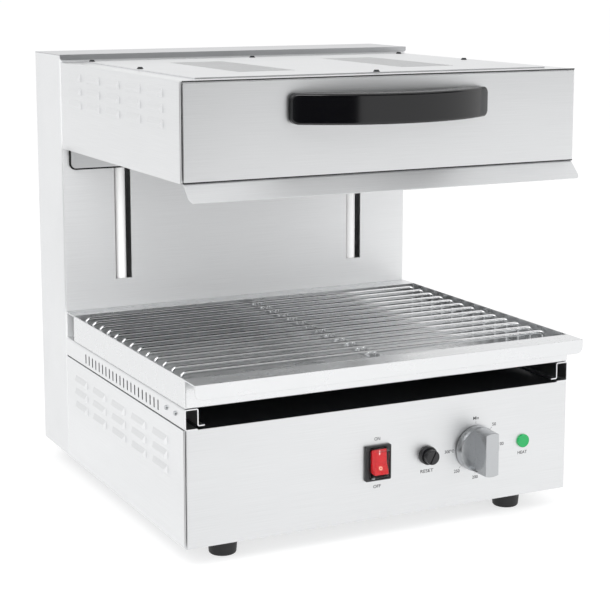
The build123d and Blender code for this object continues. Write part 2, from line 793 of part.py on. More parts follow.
with BuildPart() as strut_bracket:
    z_plate = z_base + sheet
    half_plate = pin_length / 2 + strut_plate
    plate_y = (y_strut - strut_plate, y_strut + strut_plate)
    slab((-half_plate, half_plate), plate_y, (z_plate, z_plate + ear_gauge))
    for side in (-1, 1):
        with BuildSketch(ear_spot(side, z_lower_eye)):
            Circle(ear_radius)
            drop = z_lower_eye - z_plate
            with Locations((0, -drop / 2)):
                Rectangle(2 * ear_radius, drop)
            Circle(pin_diameter / 2 + fit_gap, mode=Mode.SUBTRACT)
        extrude(amount=ear_gauge)
keep(strut_bracket, "strut_bracket")

# === Head =======================================================================================
y_shell_back = y_head_back - sheet
shell_depth = y_shell_back - y_seam
cover_depth = y_shell_back - y_front - 2 * head_rim
y_cover = y_front + head_rim + cover_depth / 2

with BuildPart() as head_shell:
    shell_front = Plane(origin=(0, y_seam, z_head), x_dir=(1, 0, 0), z_dir=(0, -1, 0))
    with BuildSketch(shell_front) as shell_outline:
        Rectangle(width, head_height, align=(MID, MIN))
        fillet(shell_outline.vertices().group_by(Axis.Y)[-1], fold_radius)
    extrude(amount=-shell_depth)
    with BuildSketch(shell_front) as shell_inside:
        Rectangle(2 * inner_half, head_height - sheet, align=(MID, MIN))
        fillet(shell_inside.vertices().group_by(Axis.Y)[-1], fold_radius - sheet)
    extrude(amount=sheet - shell_depth, mode=Mode.SUBTRACT)
    cover_overlap = cover_margin
    hole_half = half_width - head_rim - cover_overlap
    hole_back = y_cover + cover_depth / 2 - cover_overlap
    hole_front = y_cover - cover_depth / 2 + cover_overlap
    slab((-hole_half, hole_half), (hole_front, hole_back), (z_head_top - sheet, z_head_top), Mode.SUBTRACT)
    for side in (-1, 1):
        press_louvres(side, z_head + head_louvre_height)
        for z in bolt_heights:
            wall = Plane(origin=(side * rod_x, y_head_back, z), x_dir=(1, 0, 0), z_dir=(0, -1, 0))
            rod_between(wall, machine_screw / 2 + fit_gap, 2 * sheet, Mode.SUBTRACT)
keep(head_shell, "head_shell")

z_front_foot = z_head + lip_gap
z_return = (z_head + lip_flange + 2 * sheet, z_head_top - sheet)

with BuildPart() as front_cavity:
    slab((-inner_half, inner_half), (y_front + sheet, y_seam), (z_head, z_head_top - sheet))
    cavity_face = front_cavity.faces().sort_by(Axis.Y)[0]
    fillet(cavity_face.edges().sort_by(Axis.Z)[1:], fold_radius - sheet)

with BuildPart() as head_front:
    slab((-half_width, half_width), (y_front, y_front + fold_depth), (z_front_foot, z_head_top))
    outer_face = head_front.faces().sort_by(Axis.Y)[0]
    fillet(outer_face.edges().sort_by(Axis.Z)[1:], fold_radius)
    add(front_cavity.part, mode=Mode.SUBTRACT)
    for side in (-1, 1):
        edges = sorted((side * fold_half, side * (fold_half - sheet)))
        slab(edges, (y_front + sheet, y_seam + front_return), z_return)
        bolt_x = side * (handle_length / 2 - handle_bolt_inset)
        spot = Plane(origin=(bolt_x, y_front, z_head + handle_middle), x_dir=(1, 0, 0), z_dir=(0, 1, 0))
        rod_between(spot, machine_screw / 2 + fit_gap, sheet, Mode.SUBTRACT)
keep(head_front, "head_front")

with BuildPart() as head_lip:
    with BuildSketch(Plane(origin=(-half_width + lip_inset, 0, 0), x_dir=(0, 1, 0), z_dir=(1, 0, 0))):
        with BuildLine():
            y_bend = y_front + 1.5 * sheet
            Polyline(
                (y_bend, z_head + lip_flange),
                (y_bend, z_head),
                (y_front - lip_reach, z_head - lip_drop),
            )
            offset(amount=sheet / 2, side=Side.BOTH, kind=Kind.INTERSECTION)
        make_face()
    extrude(amount=width - 2 * lip_inset)
    # seen from the front, the lip's lower corners are round
    z_lip_low = head_lip.part.bounding_box().min.Z
    lip_view = Plane(origin=(0, y_seam, z_lip_low), x_dir=(1, 0, 0), z_dir=(0, -1, 0))
    with BuildSketch(lip_view) as lip_outline:
        Rectangle(width - 2 * lip_inset, lip_drop, align=(MID, MIN))
        fillet(lip_outline.vertices().group_by(Axis.Y)[0], lip_corner)
        with Locations((0, lip_drop)):
            Rectangle(width, 2 * lip_drop, align=(MID, MIN))
    extrude(amount=2 * lip_reach, mode=Mode.INTERSECT)
keep(head_lip, "head_lip")

cover_half = half_width - head_rim
screw_half = cover_half - cover_screw_inset
screw_row = cover_depth / 2 - cover_screw_inset
cover_screw_spots = [
    (-screw_half, y_cover),
    (screw_half, y_cover),
    (0, y_cover - screw_row),
    (0, y_cover + screw_row),
    (-screw_half, y_cover + screw_row),
    (screw_half, y_cover + screw_row),
]

with BuildPart() as head_cover:
    with BuildSketch(level(z_head_top)):
        with Locations((0, y_cover)):
            RectangleRounded(2 * cover_half, cover_depth, cover_corner)
            with GridLocations(2 * cover_slot_from_middle, 0, 2, 1):
                with GridLocations(0, cover_slot_pitch, 1, cover_slot_count):
                    SlotOverall(cover_slot_length, cover_slot_width, mode=Mode.SUBTRACT)
        with Locations(*cover_screw_spots):
            Circle(screw_radius + fit_gap, mode=Mode.SUBTRACT)
    extrude(amount=sheet)
keep(head_cover, "head_cover")

with BuildPart() as cover_screws:
    for spot_x, spot_y in cover_screw_spots:
        crown = level(z_head_top + sheet, spot_x, spot_y)
        with BuildSketch(crown):
            Circle(screw_head_radius)
        with BuildSketch(crown.offset(screw_head_height)):
            Circle(screw_crown)
        loft()
        rod_between(level(z_head_top, spot_x, spot_y), screw_radius, sheet)
keep(cover_screws, "cover_screws")

with BuildPart() as back_plate:
    plate_low = z_head - back_plate_drop
    plate_high = z_head_top - back_plate_top
    plate_middle = Plane(
        origin=(0, y_head_back, (plate_low + plate_high) / 2), x_dir=(-1, 0, 0), z_dir=(0, 1, 0)
    )
    with BuildSketch(plate_middle):
        RectangleRounded(width - 2 * back_plate_inset, plate_high - plate_low, back_plate_corner)
        for z in bolt_heights:
            with Locations((rod_x, z - plate_middle.origin.Z), (-rod_x, z - plate_middle.origin.Z)):
                Circle(machine_screw / 2 + fit_gap, mode=Mode.SUBTRACT)
    extrude(amount=-sheet)
keep(back_plate, "back_plate")

with BuildPart() as slider_bolts:
    for side in (-1, 1):
        for z in bolt_heights:
            inside = y_head_back - 2 * sheet
            seat = Plane(origin=(side * rod_x, inside, z), x_dir=(1, 0, 0), z_dir=(0, -1, 0))
            rod_between(seat, screw_head_radius, screw_head_height)
            rod_between(seat.offset(-2 * sheet), machine_screw / 2, 2 * sheet)
keep(slider_bolts, "slider_bolts")

# --- Reflector: a flared pan that closes the underside of the head ------------------------------
y_pan_front = y_seam
y_pan_back = y_shell_back - sheet
pan_middle = (y_pan_front + y_pan_back) / 2
pan_width = 2 * inner_half - 2 * reflector_flange
pan_depth = y_pan_back - y_pan_front - 2 * reflector_flange
z_pan = z_head + reflector_height
element_rows = [
    pan_middle + middle + leg
    for middle in (-element_spacing / 2, element_spacing / 2)
    for leg in (-element_leg_gap / 2, element_leg_gap / 2)
]
element_half_length = pan_width / 2 - reflector_slope - element_margin
element_x_end = -element_half_length

with BuildPart() as reflector:
    run = 2 * reflector_slope
    with BuildSketch(level(z_head, 0, pan_middle)):
        Rectangle(pan_width, pan_depth)
    with BuildSketch(level(z_pan, 0, pan_middle)):
        Rectangle(pan_width - run, pan_depth - run)
    loft()
    with BuildSketch(level(z_head, 0, pan_middle)):
        Rectangle(2 * inner_half - 2 * fit_gap, pan_depth + 2 * reflector_flange - 2 * fit_gap)
    extrude(amount=reflector_gauge)
    thin = 2 * reflector_gauge
    with BuildSketch(level(z_head, 0, pan_middle)):
        Rectangle(pan_width - thin, pan_depth - thin)
    with BuildSketch(level(z_pan - reflector_gauge, 0, pan_middle)):
        Rectangle(pan_width - run - thin, pan_depth - run - thin)
    loft(mode=Mode.SUBTRACT)
    with BuildSketch(level(z_pan - reflector_gauge)):
        with Locations(*[(element_x_end, row) for row in element_rows]):
            Circle(element_diameter / 2 + fit_gap)
    extrude(amount=reflector_gauge, mode=Mode.SUBTRACT)
keep(reflector, "reflector")


def quarter_bend(row, z, radius, sense):
    """Quarter turn between a cold end and the leg in the same row."""
    middle = radius * (1 - sqrt(0.5))
    ends = [(element_x_end, row, z + radius), (element_x_end + radius, row, z)]
    if sense < 0:
        ends.reverse()
    ThreePointArc(ends[0], (element_x_end + middle, row, z + middle), ends[1])


def hairpin(rows):
    """Sheathed heating element: two legs joined by a half turn, with both cold ends turned up."""
    z_tube_axis = z_head + element_height
    radius = (rows[1] - rows[0]) / 2
    turn_x = element_half_length - radius
    with BuildPart() as element:
        with BuildLine() as path:
            corner = element_bend
            near, far = rows
            up = z_tube_axis + element_rise
            Line((element_x_end, near, up), (element_x_end, near, z_tube_axis + corner))
            quarter_bend(near, z_tube_axis, corner, 1)
            Line((element_x_end + corner, near, z_tube_axis), (turn_x, near, z_tube_axis))
            ThreePointArc(
                (turn_x, near, z_tube_axis),
                (turn_x + radius, (near + far) / 2, z_tube_axis),
                (turn_x, far, z_tube_axis),
            )
            Line((turn_x, far, z_tube_axis), (element_x_end + corner, far, z_tube_axis))
            quarter_bend(far, z_tube_axis, corner, -1)
            Line((element_x_end, far, z_tube_axis + corner), (element_x_end, far, up))
        with BuildSketch(Plane(origin=path.line @ 0, z_dir=path.line % 0)):
            Circle(element_diameter / 2)
        sweep()
    return element


element_front = hairpin(element_rows[:2])
keep(element_front, "element_front")
element_rear = hairpin(element_rows[2:])
keep(element_rear, "element_rear")

with BuildPart() as element_clips:
    z_clip_top = z_pan - reflector_gauge
    z_clip_low = z_head + element_height - clip_edge
    for rows in (element_rows[:2], element_rows[2:]):
        for clip_x in (-clip_pitch / 2 - clip_gauge / 2, clip_pitch / 2 - clip_gauge / 2):
            clip_plane = Plane(origin=(clip_x, sum(rows) / 2, z_clip_top), x_dir=(0, 1, 0), z_dir=(1, 0, 0))
            with BuildSketch(clip_plane):
                Rectangle(rows[1] - rows[0] + 2 * clip_edge, z_clip_top - z_clip_low, align=(MID, MAX))
                drop = z_head + element_height - z_clip_top
                with Locations((-element_leg_gap / 2, drop), (element_leg_gap / 2, drop)):
                    Circle(element_diameter / 2 + fit_gap, mode=Mode.SUBTRACT)
            extrude(amount=clip_gauge)
keep(element_clips, "element_clips")

with BuildPart() as element_bushes:
    for row in element_rows:
        with BuildSketch(level(z_pan, element_x_end, row)):
            Circle(bush_radius)
            Circle(element_diameter / 2 + fit_gap, mode=Mode.SUBTRACT)
        extrude(amount=bush_height)
keep(element_bushes, "element_bushes")

with BuildPart() as insulation:
    with BuildSketch(level(z_pan)):
        with Locations((0, pan_middle)):
            Rectangle(pan_width - run - insulation_margin, pan_depth - run - insulation_margin)
        with Locations(*[(element_x_end, row) for row in element_rows]):
            Circle(bush_radius + swing_gap, mode=Mode.SUBTRACT)
    extrude(amount=insulation_height)
keep(insulation, "insulation")

# --- Handle: a bowed grip moulded with its two feet ---------------------------------------------
half_handle = handle_length / 2
with BuildPart() as handle:
    z_handle = z_head + handle_middle
    with BuildSketch(level(z_handle - handle_height / 2)):
        with BuildLine():
            inner_x = half_handle - handle_foot
            grip_y = y_front - handle_reach + handle_grip
            end_y = y_front - handle_end
            ThreePointArc((-inner_x, y_front), (0, grip_y), (inner_x, y_front))
            Line((inner_x, y_front), (half_handle, y_front))
            Line((half_handle, y_front), (half_handle, end_y))
            ThreePointArc((half_handle, end_y), (0, y_front - handle_reach), (-half_handle, end_y))
            Line((-half_handle, end_y), (-half_handle, y_front))
            Line((-half_handle, y_front), (-inner_x, y_front))
        make_face()
    extrude(amount=handle_height)
    with BuildSketch(Plane(origin=(0, y_front, z_handle), x_dir=(1, 0, 0), z_dir=(0, -1, 0))):
        RectangleRounded(handle_length, handle_height, handle_corner)
    extrude(amount=handle_reach, mode=Mode.INTERSECT)
    bow = handle.faces().filter_by(GeomType.CYLINDER).sort_by(Axis.Y)[0]
    fillet(bow.edges(), handle_round)
    for side in (-1, 1):
        bolt_x = side * (half_handle - handle_bolt_inset)
        spot = Plane(origin=(bolt_x, y_front, z_handle), x_dir=(1, 0, 0), z_dir=(0, -1, 0))
        rod_between(spot, machine_screw / 2 + fit_gap, screw_length, Mode.SUBTRACT)
keep(handle, "handle")

with BuildPart() as handle_bolts:
    for side in (-1, 1):
        bolt_x = side * (half_handle - handle_bolt_inset)
        inner_face = Plane(origin=(bolt_x, y_front + sheet, z_handle), x_dir=(1, 0, 0), z_dir=(0, 1, 0))
        rod_between(inner_face, screw_head_radius, screw_head_height)
        rod_between(inner_face.offset(-sheet - screw_length), machine_screw / 2, sheet + screw_length)
keep(handle_bolts, "handle_bolts")

# === Tray and rack ==============================================================================
z_tray_floor = z_tray + glide_gap
y_tray_back = y_column - tray_rear_flange

with BuildPart() as tray_cavity:
    slab((-inner_half, inner_half), (y_front + sheet, y_tray_back - sheet), (z_tray_floor + sheet, z_rim))
    rim_edges = tray_cavity.faces().sort_by(Axis.Z)[-1].edges()
    fillet(tray_cavity.edges() - rim_edges, tray_fold_radius - sheet)

with BuildPart() as drip_tray:
    slab((-half_width, half_width), (y_front, y_tray_back), (z_tray_floor, z_rim))
    rim_edges = drip_tray.faces().sort_by(Axis.Z)[-1].edges()
    fillet(drip_tray.edges() - rim_edges, tray_fold_radius)
    add(tray_cavity.part, mode=Mode.SUBTRACT)
    slab((-half_width, half_width), (y_tray_back - sheet, y_column - tray_back_gap), (z_rim - sheet, z_rim))
    slab((-half_width, half_width), (y_front - tray_lip_reach, y_front + sheet), (z_rim - sheet, z_rim))
    lip_face = Plane(origin=(0, y_front - tray_lip_reach, z_rim), x_dir=(1, 0, 0), z_dir=(0, -1, 0))
    with BuildSketch(lip_face) as tray_lip:
        Rectangle(width, tray_lip_drop, align=(MID, MAX))
        fillet(tray_lip.vertices().group_by(Axis.Y)[0], tray_lip_corner)
    extrude(amount=-sheet)
keep(drip_tray, "drip_tray")

z_wire = z_rim - rack_wire / 2
z_bar = z_wire - rack_wire / 2 - rack_bar / 2 + rack_weld
y_first = y_front + rack_first_wire
rack_room = y_tray_back - rack_rear_margin - y_first
rack_wire_count = int(rack_room // rack_wire_pitch) + 1
y_last = y_first + rack_wire_pitch * (rack_wire_count - 1)
rack_width = 2 * (inner_half - rack_side_gap)
z_leg_foot = z_tray_floor + sheet + glide_gap


def rack_wire_at(y):
    """Wire across the tray whose two ends turn down into legs."""
    leg_x = (rack_width - rack_wire) / 2
    with BuildLine() as route:
        FilletPolyline(
            (-leg_x, y, z_leg_foot),
            (-leg_x, y, z_wire),
            (leg_x, y, z_wire),
            (leg_x, y, z_leg_foot),
            radius=rack_wire_bend,
        )
    with BuildSketch(Plane(origin=route.line @ 0, z_dir=route.line % 0)) as section:
        Circle(rack_wire / 2)
    sweep(section.sketch, path=route.line)


with BuildPart() as wire_rack:
    bar_length = y_last - y_first + 2 * rack_overhang
    for bar_x in (-rack_middle_gap / 2, rack_middle_gap / 2):
        bar_end = Plane(origin=(bar_x, y_first - rack_overhang, z_bar), z_dir=(0, 1, 0))
        rod_between(bar_end, rack_bar / 2, bar_length)
    for index in range(rack_wire_count):
        rack_wire_at(y_first + index * rack_wire_pitch)
keep(wire_rack, "wire_rack")

# === Controls ===================================================================================
# --- Knob and thermostat ------------------------------------------------------------------------
with BuildPart() as knob:
    skirt = front_spot(knob_x, control_height, knob_gap)
    skirt_face = skirt.offset(knob_rim + knob_bevel)
    knob_front = skirt_face.offset(knob_grip_depth)
    with BuildSketch(skirt_face):
        Rectangle(knob_grip_root, 2 * knob_radius)
    with BuildSketch(knob_front):
        Rectangle(knob_grip_front, 2 * knob_radius)
    loft()
    rod_between(skirt_face, knob_face_radius, knob_grip_depth, Mode.INTERSECT)
    # a half-disc hollow for the fingers in each side of the grip
    for side in (-1, 1):
        hollow = Plane(origin=skirt_face.origin, z_dir=(side, 0, 0)).offset(knob_grip_waist / 2)
        rod_between(hollow, knob_hollow_radius, knob_grip_root, Mode.SUBTRACT)
    fillet(knob.faces().sort_by(Axis.Y)[0].edges(), knob_front_round)
    rod_between(skirt, knob_radius, knob_rim)
    with BuildSketch(skirt.offset(knob_rim)):
        Circle(knob_radius)
    with BuildSketch(skirt_face):
        Circle(knob_face_radius)
    loft()
    rod_between(skirt, shaft_diameter / 2 + fit_gap, shaft_in_knob, Mode.SUBTRACT)
keep(knob, "knob")

thermostat_front = front_spot(knob_x, control_height, -sheet)
bush_reach = knob_gap + sheet - swing_gap

with BuildPart() as thermostat:
    with BuildSketch(thermostat_front):
        RectangleRounded(thermostat_size, thermostat_size, body_corner)
    extrude(amount=-thermostat_depth)
    rod_between(thermostat_front, thermostat_bush / 2, bush_reach)
    bore_start = thermostat_front.offset(-shaft_in_thermostat - swing_gap)
    bore_length = shaft_in_thermostat + swing_gap + bush_reach
    rod_between(bore_start, shaft_diameter / 2 + running_gap, bore_length, Mode.SUBTRACT)
keep(thermostat, "thermostat")

with BuildPart() as knob_shaft:
    shaft_start = thermostat_front.offset(-shaft_in_thermostat)
    shaft_length = shaft_in_thermostat + sheet + knob_gap + shaft_in_knob - swing_gap
    rod_between(shaft_start, shaft_diameter / 2, shaft_length)
keep(knob_shaft, "knob_shaft")

# --- Rocker switch ------------------------------------------------------------------------------
tilt = radians(rocker_tilt)
swing_radius = sqrt((rocker_reach + rocker_pivot) ** 2 + (rocker_height / 2) ** 2)
corner_angle = atan2(rocker_height / 2, rocker_reach + rocker_pivot)
swing_height = swing_radius * sin(corner_angle + tilt)      # half height that the rocker sweeps
swing_reach = swing_radius * cos(corner_angle - tilt) - rocker_pivot
well_width = rocker_width + 2 * swing_gap
well_height = 2 * (swing_height + swing_gap)
switch_face = front_spot(switch_x, control_height)


def pivot_spot(side, from_middle):
    """Plane at the rocker's pivot, at a distance from the rocker's middle, looking inwards."""
    origin = (switch_x + side * from_middle, y_front + rocker_pivot, z_base + control_height)
    return Plane(origin=origin, z_dir=(-side, 0, 0))


with BuildPart() as switch_housing:
    with BuildSketch(switch_face):
        RectangleRounded(switch_width, switch_height, switch_corner)
    extrude(amount=switch_bezel)
    with BuildSketch(switch_face):
        Rectangle(switch_hole_width - 2 * fit_gap, switch_hole_height - 2 * fit_gap)
    extrude(amount=-switch_depth)
    with BuildSketch(switch_face.offset(switch_bezel)):
        Rectangle(well_width, well_height)
    extrude(amount=-switch_bezel - rocker_well, mode=Mode.SUBTRACT)
    for side in (-1, 1):
        rod_between(pivot_spot(side, well_width / 2), pivot_radius, swing_gap + pivot_reach)
keep(switch_housing, "switch_housing")

with BuildPart() as rocker:
    # side view: x towards the viewer, y up, turned about the pivot to the pressed-top position
    pivot = Plane(
        origin=(switch_x - rocker_width / 2, y_front + rocker_pivot, z_base + control_height),
        x_dir=(0, -cos(tilt), sin(tilt)),
        z_dir=(-1, 0, 0),
    )
    ahead = rocker_reach + rocker_pivot
    behind = rocker_back - rocker_pivot
    with BuildSketch(pivot):
        with BuildLine():
            Polyline(
                (ahead, rocker_height / 2),
                (ahead - rocker_dip, 0),
                (ahead, -rocker_height / 2),
                (-behind, -rocker_foot / 2),
                (-behind, rocker_foot / 2),
                close=True,
            )
        make_face()
    extrude(amount=-rocker_width)
    for side in (-1, 1):
        socket_depth = pivot_reach + swing_gap
        bore = pivot_radius + running_gap
        rod_between(pivot_spot(side, rocker_width / 2), bore, socket_depth, Mode.SUBTRACT)
keep(rocker, "rocker")

with BuildPart() as switch_boot:
    boot_base = switch_face.offset(switch_bezel)
    boot_depth = swing_reach + boot_gap + boot_wall - switch_bezel
    foot_width = well_width + 2 * boot_ease
    foot_length = well_height + 2 * boot_ease
    top_width = foot_width - boot_draft
    top_length = foot_length - 2 * boot_draft
    with BuildSketch(boot_base):
        RectangleRounded(foot_width + 2 * boot_wall, foot_length + 2 * boot_wall, boot_corner)
    with BuildSketch(boot_base.offset(boot_depth)):
        RectangleRounded(top_width + 2 * boot_wall, top_length + 2 * boot_wall, boot_corner)
    loft()
    fillet(switch_boot.faces().sort_by(Axis.Y)[0].edges(), boot_wall)
    with BuildSketch(boot_base):
        RectangleRounded(foot_width, foot_length, boot_corner - boot_wall)
    with BuildSketch(boot_base.offset(boot_depth - boot_wall)):
        RectangleRounded(top_width, top_length, boot_corner - boot_wall)
    loft(mode=Mode.SUBTRACT)
keep(switch_boot, "switch_boot")

with BuildPart() as switch_terminals:
    with BuildSketch(switch_face.offset(-switch_depth)):
        with GridLocations(spade_column_pitch, spade_row_pitch, 2, 2):
            Rectangle(spade_gauge, spade_width)
    extrude(amount=-spade_length)
keep(switch_terminals, "switch_terminals")

# --- Reset button -------------------------------------------------------------------------------
reset_face = front_spot(reset_x, control_height)

with BuildPart() as reset_ring:
    rod_between(reset_face, reset_ring_radius, reset_ring_depth)
    fillet(reset_ring.faces().sort_by(Axis.Y)[0].edges(), reset_ring_round)
    rod_between(reset_face, reset_neck / 2, -sheet - reset_neck_length)
    floor_plane = reset_face.offset(reset_ring_floor)
    rod_between(floor_plane, reset_cap_radius + swing_gap, reset_ring_depth, Mode.SUBTRACT)
    stem_bore = reset_face.offset(-sheet - reset_neck_length)
    bore_length = reset_neck_length + sheet + reset_ring_floor
    rod_between(stem_bore, reset_stem / 2 + running_gap, bore_length, Mode.SUBTRACT)
keep(reset_ring, "reset_ring")

with BuildPart() as reset_cap:
    cap_back = reset_ring_floor + reset_travel + swing_gap
    rod_between(reset_face.offset(cap_back), reset_cap_radius, reset_cap_reach - cap_back)
    fillet(reset_cap.faces().sort_by(Axis.Y)[0].edges(), reset_cap_round)
    with BuildSketch(reset_face.offset(reset_cap_reach)):
        Rectangle(2 * reset_cap_radius, reset_slot_width, rotation=reset_slot_angle)
    extrude(amount=-reset_slot_depth, mode=Mode.SUBTRACT)
    stem_length = cap_back + sheet + reset_neck_length + reset_stem_reach
    rod_between(reset_face.offset(cap_back), reset_stem / 2, -stem_length)
keep(reset_cap, "reset_cap")

with BuildPart() as reset_cutout:
    cutout_front = reset_face.offset(-sheet - reset_neck_length)
    with BuildSketch(cutout_front):
        RectangleRounded(cutout_size, cutout_size, body_corner)
    extrude(amount=-cutout_depth)
    stem_room = reset_stem_reach + reset_travel + swing_gap
    rod_between(cutout_front, reset_stem / 2 + swing_gap, -stem_room, Mode.SUBTRACT)
keep(reset_cutout, "reset_cutout")

# --- Heat lamp ----------------------------------------------------------------------------------
lamp_face = front_spot(lamp_x, control_height)

with BuildPart() as lamp_lens:
    rod_between(lamp_face, lamp_radius, lamp_depth)
    fillet(lamp_lens.faces().sort_by(Axis.Y)[0].edges(), lamp_round)
keep(lamp_lens, "lamp_lens")

with BuildPart() as lamp_holder:
    rod_between(lamp_face, lamp_neck / 2, -lamp_body_length)
    with BuildSketch(lamp_face.offset(-sheet)):
        RegularPolygon(lamp_nut_radius, 6)
    extrude(amount=-lamp_nut)
keep(lamp_holder, "lamp_holder")

# --- Mains entry --------------------------------------------------------------------------------
with BuildPart() as terminal_block:
    y_block = y_back - column_depth / 2
    block_base = level(z_base + sheet, terminal_x, y_block)
    with BuildSketch(block_base):
        RectangleRounded(terminal_length, terminal_width, terminal_corner)
    extrude(amount=terminal_height)
    with BuildSketch(block_base.offset(terminal_height)):
        with GridLocations(terminal_length / terminal_ways, 0, terminal_ways, 1):
            Circle(terminal_well / 2)
    extrude(amount=-terminal_well_depth, mode=Mode.SUBTRACT)
keep(terminal_block, "terminal_block")

with BuildPart() as terminal_screws:
    with BuildSketch(block_base.offset(terminal_height - terminal_well_depth)):
        with GridLocations(terminal_length / terminal_ways, 0, terminal_ways, 1):
            Circle(terminal_screw_radius)
    extrude(amount=terminal_screw_height)
keep(terminal_screws, "terminal_screws")

with BuildPart() as cable_gland:
    gland_face = back_spot(gland_x, z_base + gland_height)
    with BuildSketch(gland_face):
        RegularPolygon(gland_flange, 6)
    extrude(amount=gland_flange_depth)
    with BuildSketch(gland_face.offset(gland_flange_depth)):
        Circle(gland_radius)
    with BuildSketch(gland_face.offset(gland_reach)):
        Circle(gland_mouth)
    loft()
    rod_between(gland_face, gland_neck, -sheet - gland_inside)
    inner_end = gland_face.offset(-sheet - gland_inside)
    rod_between(inner_end, gland_bore, sheet + gland_inside + gland_reach, Mode.SUBTRACT)
keep(cable_gland, "cable_gland")

with BuildPart() as gland_nut:
    with BuildSketch(gland_face.offset(-sheet)):
        RegularPolygon(gland_flange, 6)
        Circle(gland_neck + fit_gap / 2, mode=Mode.SUBTRACT)
    extrude(amount=-gland_nut_height)
keep(gland_nut, "gland_nut")
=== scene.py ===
"""Finishes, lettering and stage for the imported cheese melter. Metres, +Z up, the front looks along -Y."""

from math import cos, pi, radians, sin

import bmesh
import bpy
from bpy.props import FloatProperty, FloatVectorProperty, PointerProperty, StringProperty
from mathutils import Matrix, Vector


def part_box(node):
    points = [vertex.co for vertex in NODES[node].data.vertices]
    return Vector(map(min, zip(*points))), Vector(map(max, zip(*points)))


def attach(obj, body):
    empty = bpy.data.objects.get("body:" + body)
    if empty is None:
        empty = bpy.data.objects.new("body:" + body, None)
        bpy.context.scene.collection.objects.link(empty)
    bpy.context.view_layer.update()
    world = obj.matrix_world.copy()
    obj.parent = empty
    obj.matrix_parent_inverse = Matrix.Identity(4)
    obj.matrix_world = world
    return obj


bl_info = {
    "name": "Cheese Melter Dressing",
    "version": (1, 0, 0),
    "blender": (4, 5, 0),
    "location": "View3D > Sidebar > Cheese Melter",
    "description": "Gives the packed cheese melter its finishes, lettering, small parts and studio",
    "category": "Object",
}

MM = 0.001
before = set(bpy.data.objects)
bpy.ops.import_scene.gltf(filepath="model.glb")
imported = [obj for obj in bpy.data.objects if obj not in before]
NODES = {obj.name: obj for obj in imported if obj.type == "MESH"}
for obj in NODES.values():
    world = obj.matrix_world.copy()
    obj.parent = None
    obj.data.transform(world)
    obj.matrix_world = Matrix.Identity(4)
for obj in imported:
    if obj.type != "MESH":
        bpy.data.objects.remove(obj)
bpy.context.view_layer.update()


# --- Where things are, read from the frame -------------------------------------------------------
def middle(node):
    """Centre of a CAD node's box."""
    low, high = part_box(node)
    return (low + high) / 2


PANEL_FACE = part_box("front_panel")[0].y
PANEL_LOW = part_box("front_panel")[0].z
DIAL = middle("knob")
KNOB_RADIUS = (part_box("knob")[1].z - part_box("knob")[0].z) / 2
LAMP = middle("lamp_lens")
RESET = middle("reset_cap")
SWITCH = middle("switch_housing")


# --- Small helpers --------------------------------------------------------------------------------
def linear(hex_colour):
    """sRGB hex text as a linear RGBA colour."""
    channels = [int(hex_colour[i:i + 2], 16) / 255 for i in (1, 3, 5)]
    return [c / 12.92 if c <= 0.04045 else ((c + 0.055) / 1.055) ** 2.4 for c in channels] + [1.0]


def add_node(tree, kind, settings=None, links=None, **values):
    """Adds a shader node: attributes from settings, sockets from values, and links from other sockets."""
    node = tree.nodes.new(kind)
    for name, value in (settings or {}).items():
        setattr(node, name, value)
    for name, value in values.items():
        node.inputs[name.replace("_", " ")].default_value = value
    for name, source in (links or {}).items():
        tree.links.new(source, node.inputs[name])
    return node


def new_material(name):
    """An empty node material with its output, as (material, node tree, output node)."""
    material = bpy.data.materials.new(name)
    material.use_nodes = True
    tree = material.node_tree
    tree.nodes.clear()
    return material, tree, add_node(tree, "ShaderNodeOutputMaterial")


def finish_material(tree, output, shader):
    """Links a material's shader to its output."""
    tree.links.new(shader.outputs[0], output.inputs["Surface"])


def object_position(tree, spans):
    """Position in the object, divided by a span along each axis, so that a pattern of size 1 fills it."""
    place = add_node(tree, "ShaderNodeTexCoord").outputs["Object"]
    scale = [1 / span for span in spans]
    mapping = add_node(tree, "ShaderNodeMapping", links={"Vector": place}, Scale=scale)
    return mapping.outputs["Vector"]


def noise(tree, spans, detail=2.0):
    """Noise whose features are as large as the spans along X, Y and Z."""
    links = {"Vector": object_position(tree, spans)}
    return add_node(tree, "ShaderNodeTexNoise", links=links, Scale=1.0, Detail=detail).outputs["Fac"]


def mapped(tree, source, low, high):
    """A value that runs from low to high as its source runs from 0 to 1."""
    node = add_node(tree, "ShaderNodeMapRange", links={"Value": source}, To_Min=low, To_Max=high)
    return node.outputs["Result"]


def varied(tree, source, roughness, share):
    """Roughness that swings by a share below and above its mean, and never past 1."""
    return mapped(tree, source, roughness * (1 - share), min(1.0, roughness * (1 + share)))


def dress(material, *names):
    """Gives CAD nodes a material."""
    for name in names:
        slots = NODES[name].data.materials
        slots.clear()
        slots.append(material)


def new_piece(name, mesh, material, body):
    """Puts a finished mesh into the scene as a piece that rides on a body."""
    piece = bpy.data.objects.new(name, mesh)
    bpy.context.scene.collection.objects.link(piece)
    mesh.materials.clear()
    mesh.materials.append(material)
    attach(piece, body)


def mesh_from(shape, name):
    """A mesh made from a bmesh, which is freed."""
    bmesh.ops.recalc_face_normals(shape, faces=shape.faces)
    mesh = bpy.data.meshes.new(name)
    shape.to_mesh(mesh)
    shape.free()
    return mesh


# --- Materials ------------------------------------------------------------------------------------
GRAIN_PITCH = 0.5 * MM      # grit lines; real ones are finer than the render can show
GRAIN_LENGTH = 60 * MM
BAND_WIDTH = 60 * MM        # broad faint bands, as rolled sheet has
BAND_LENGTH = 400 * MM
BAND_SHARE = 0.5
DARKEST_GRAIN = 0.95        # times the sheet's colour
LIGHTEST_GRAIN = 1.03
DARKEST_UP_TO = 0.45        # of the grain's and the bands' noise added up
POLISH_SWING = 0.15         # share by which a roughness varies over the surface
METAL_SWING = 0.25
MOULD_SWING = 0.2


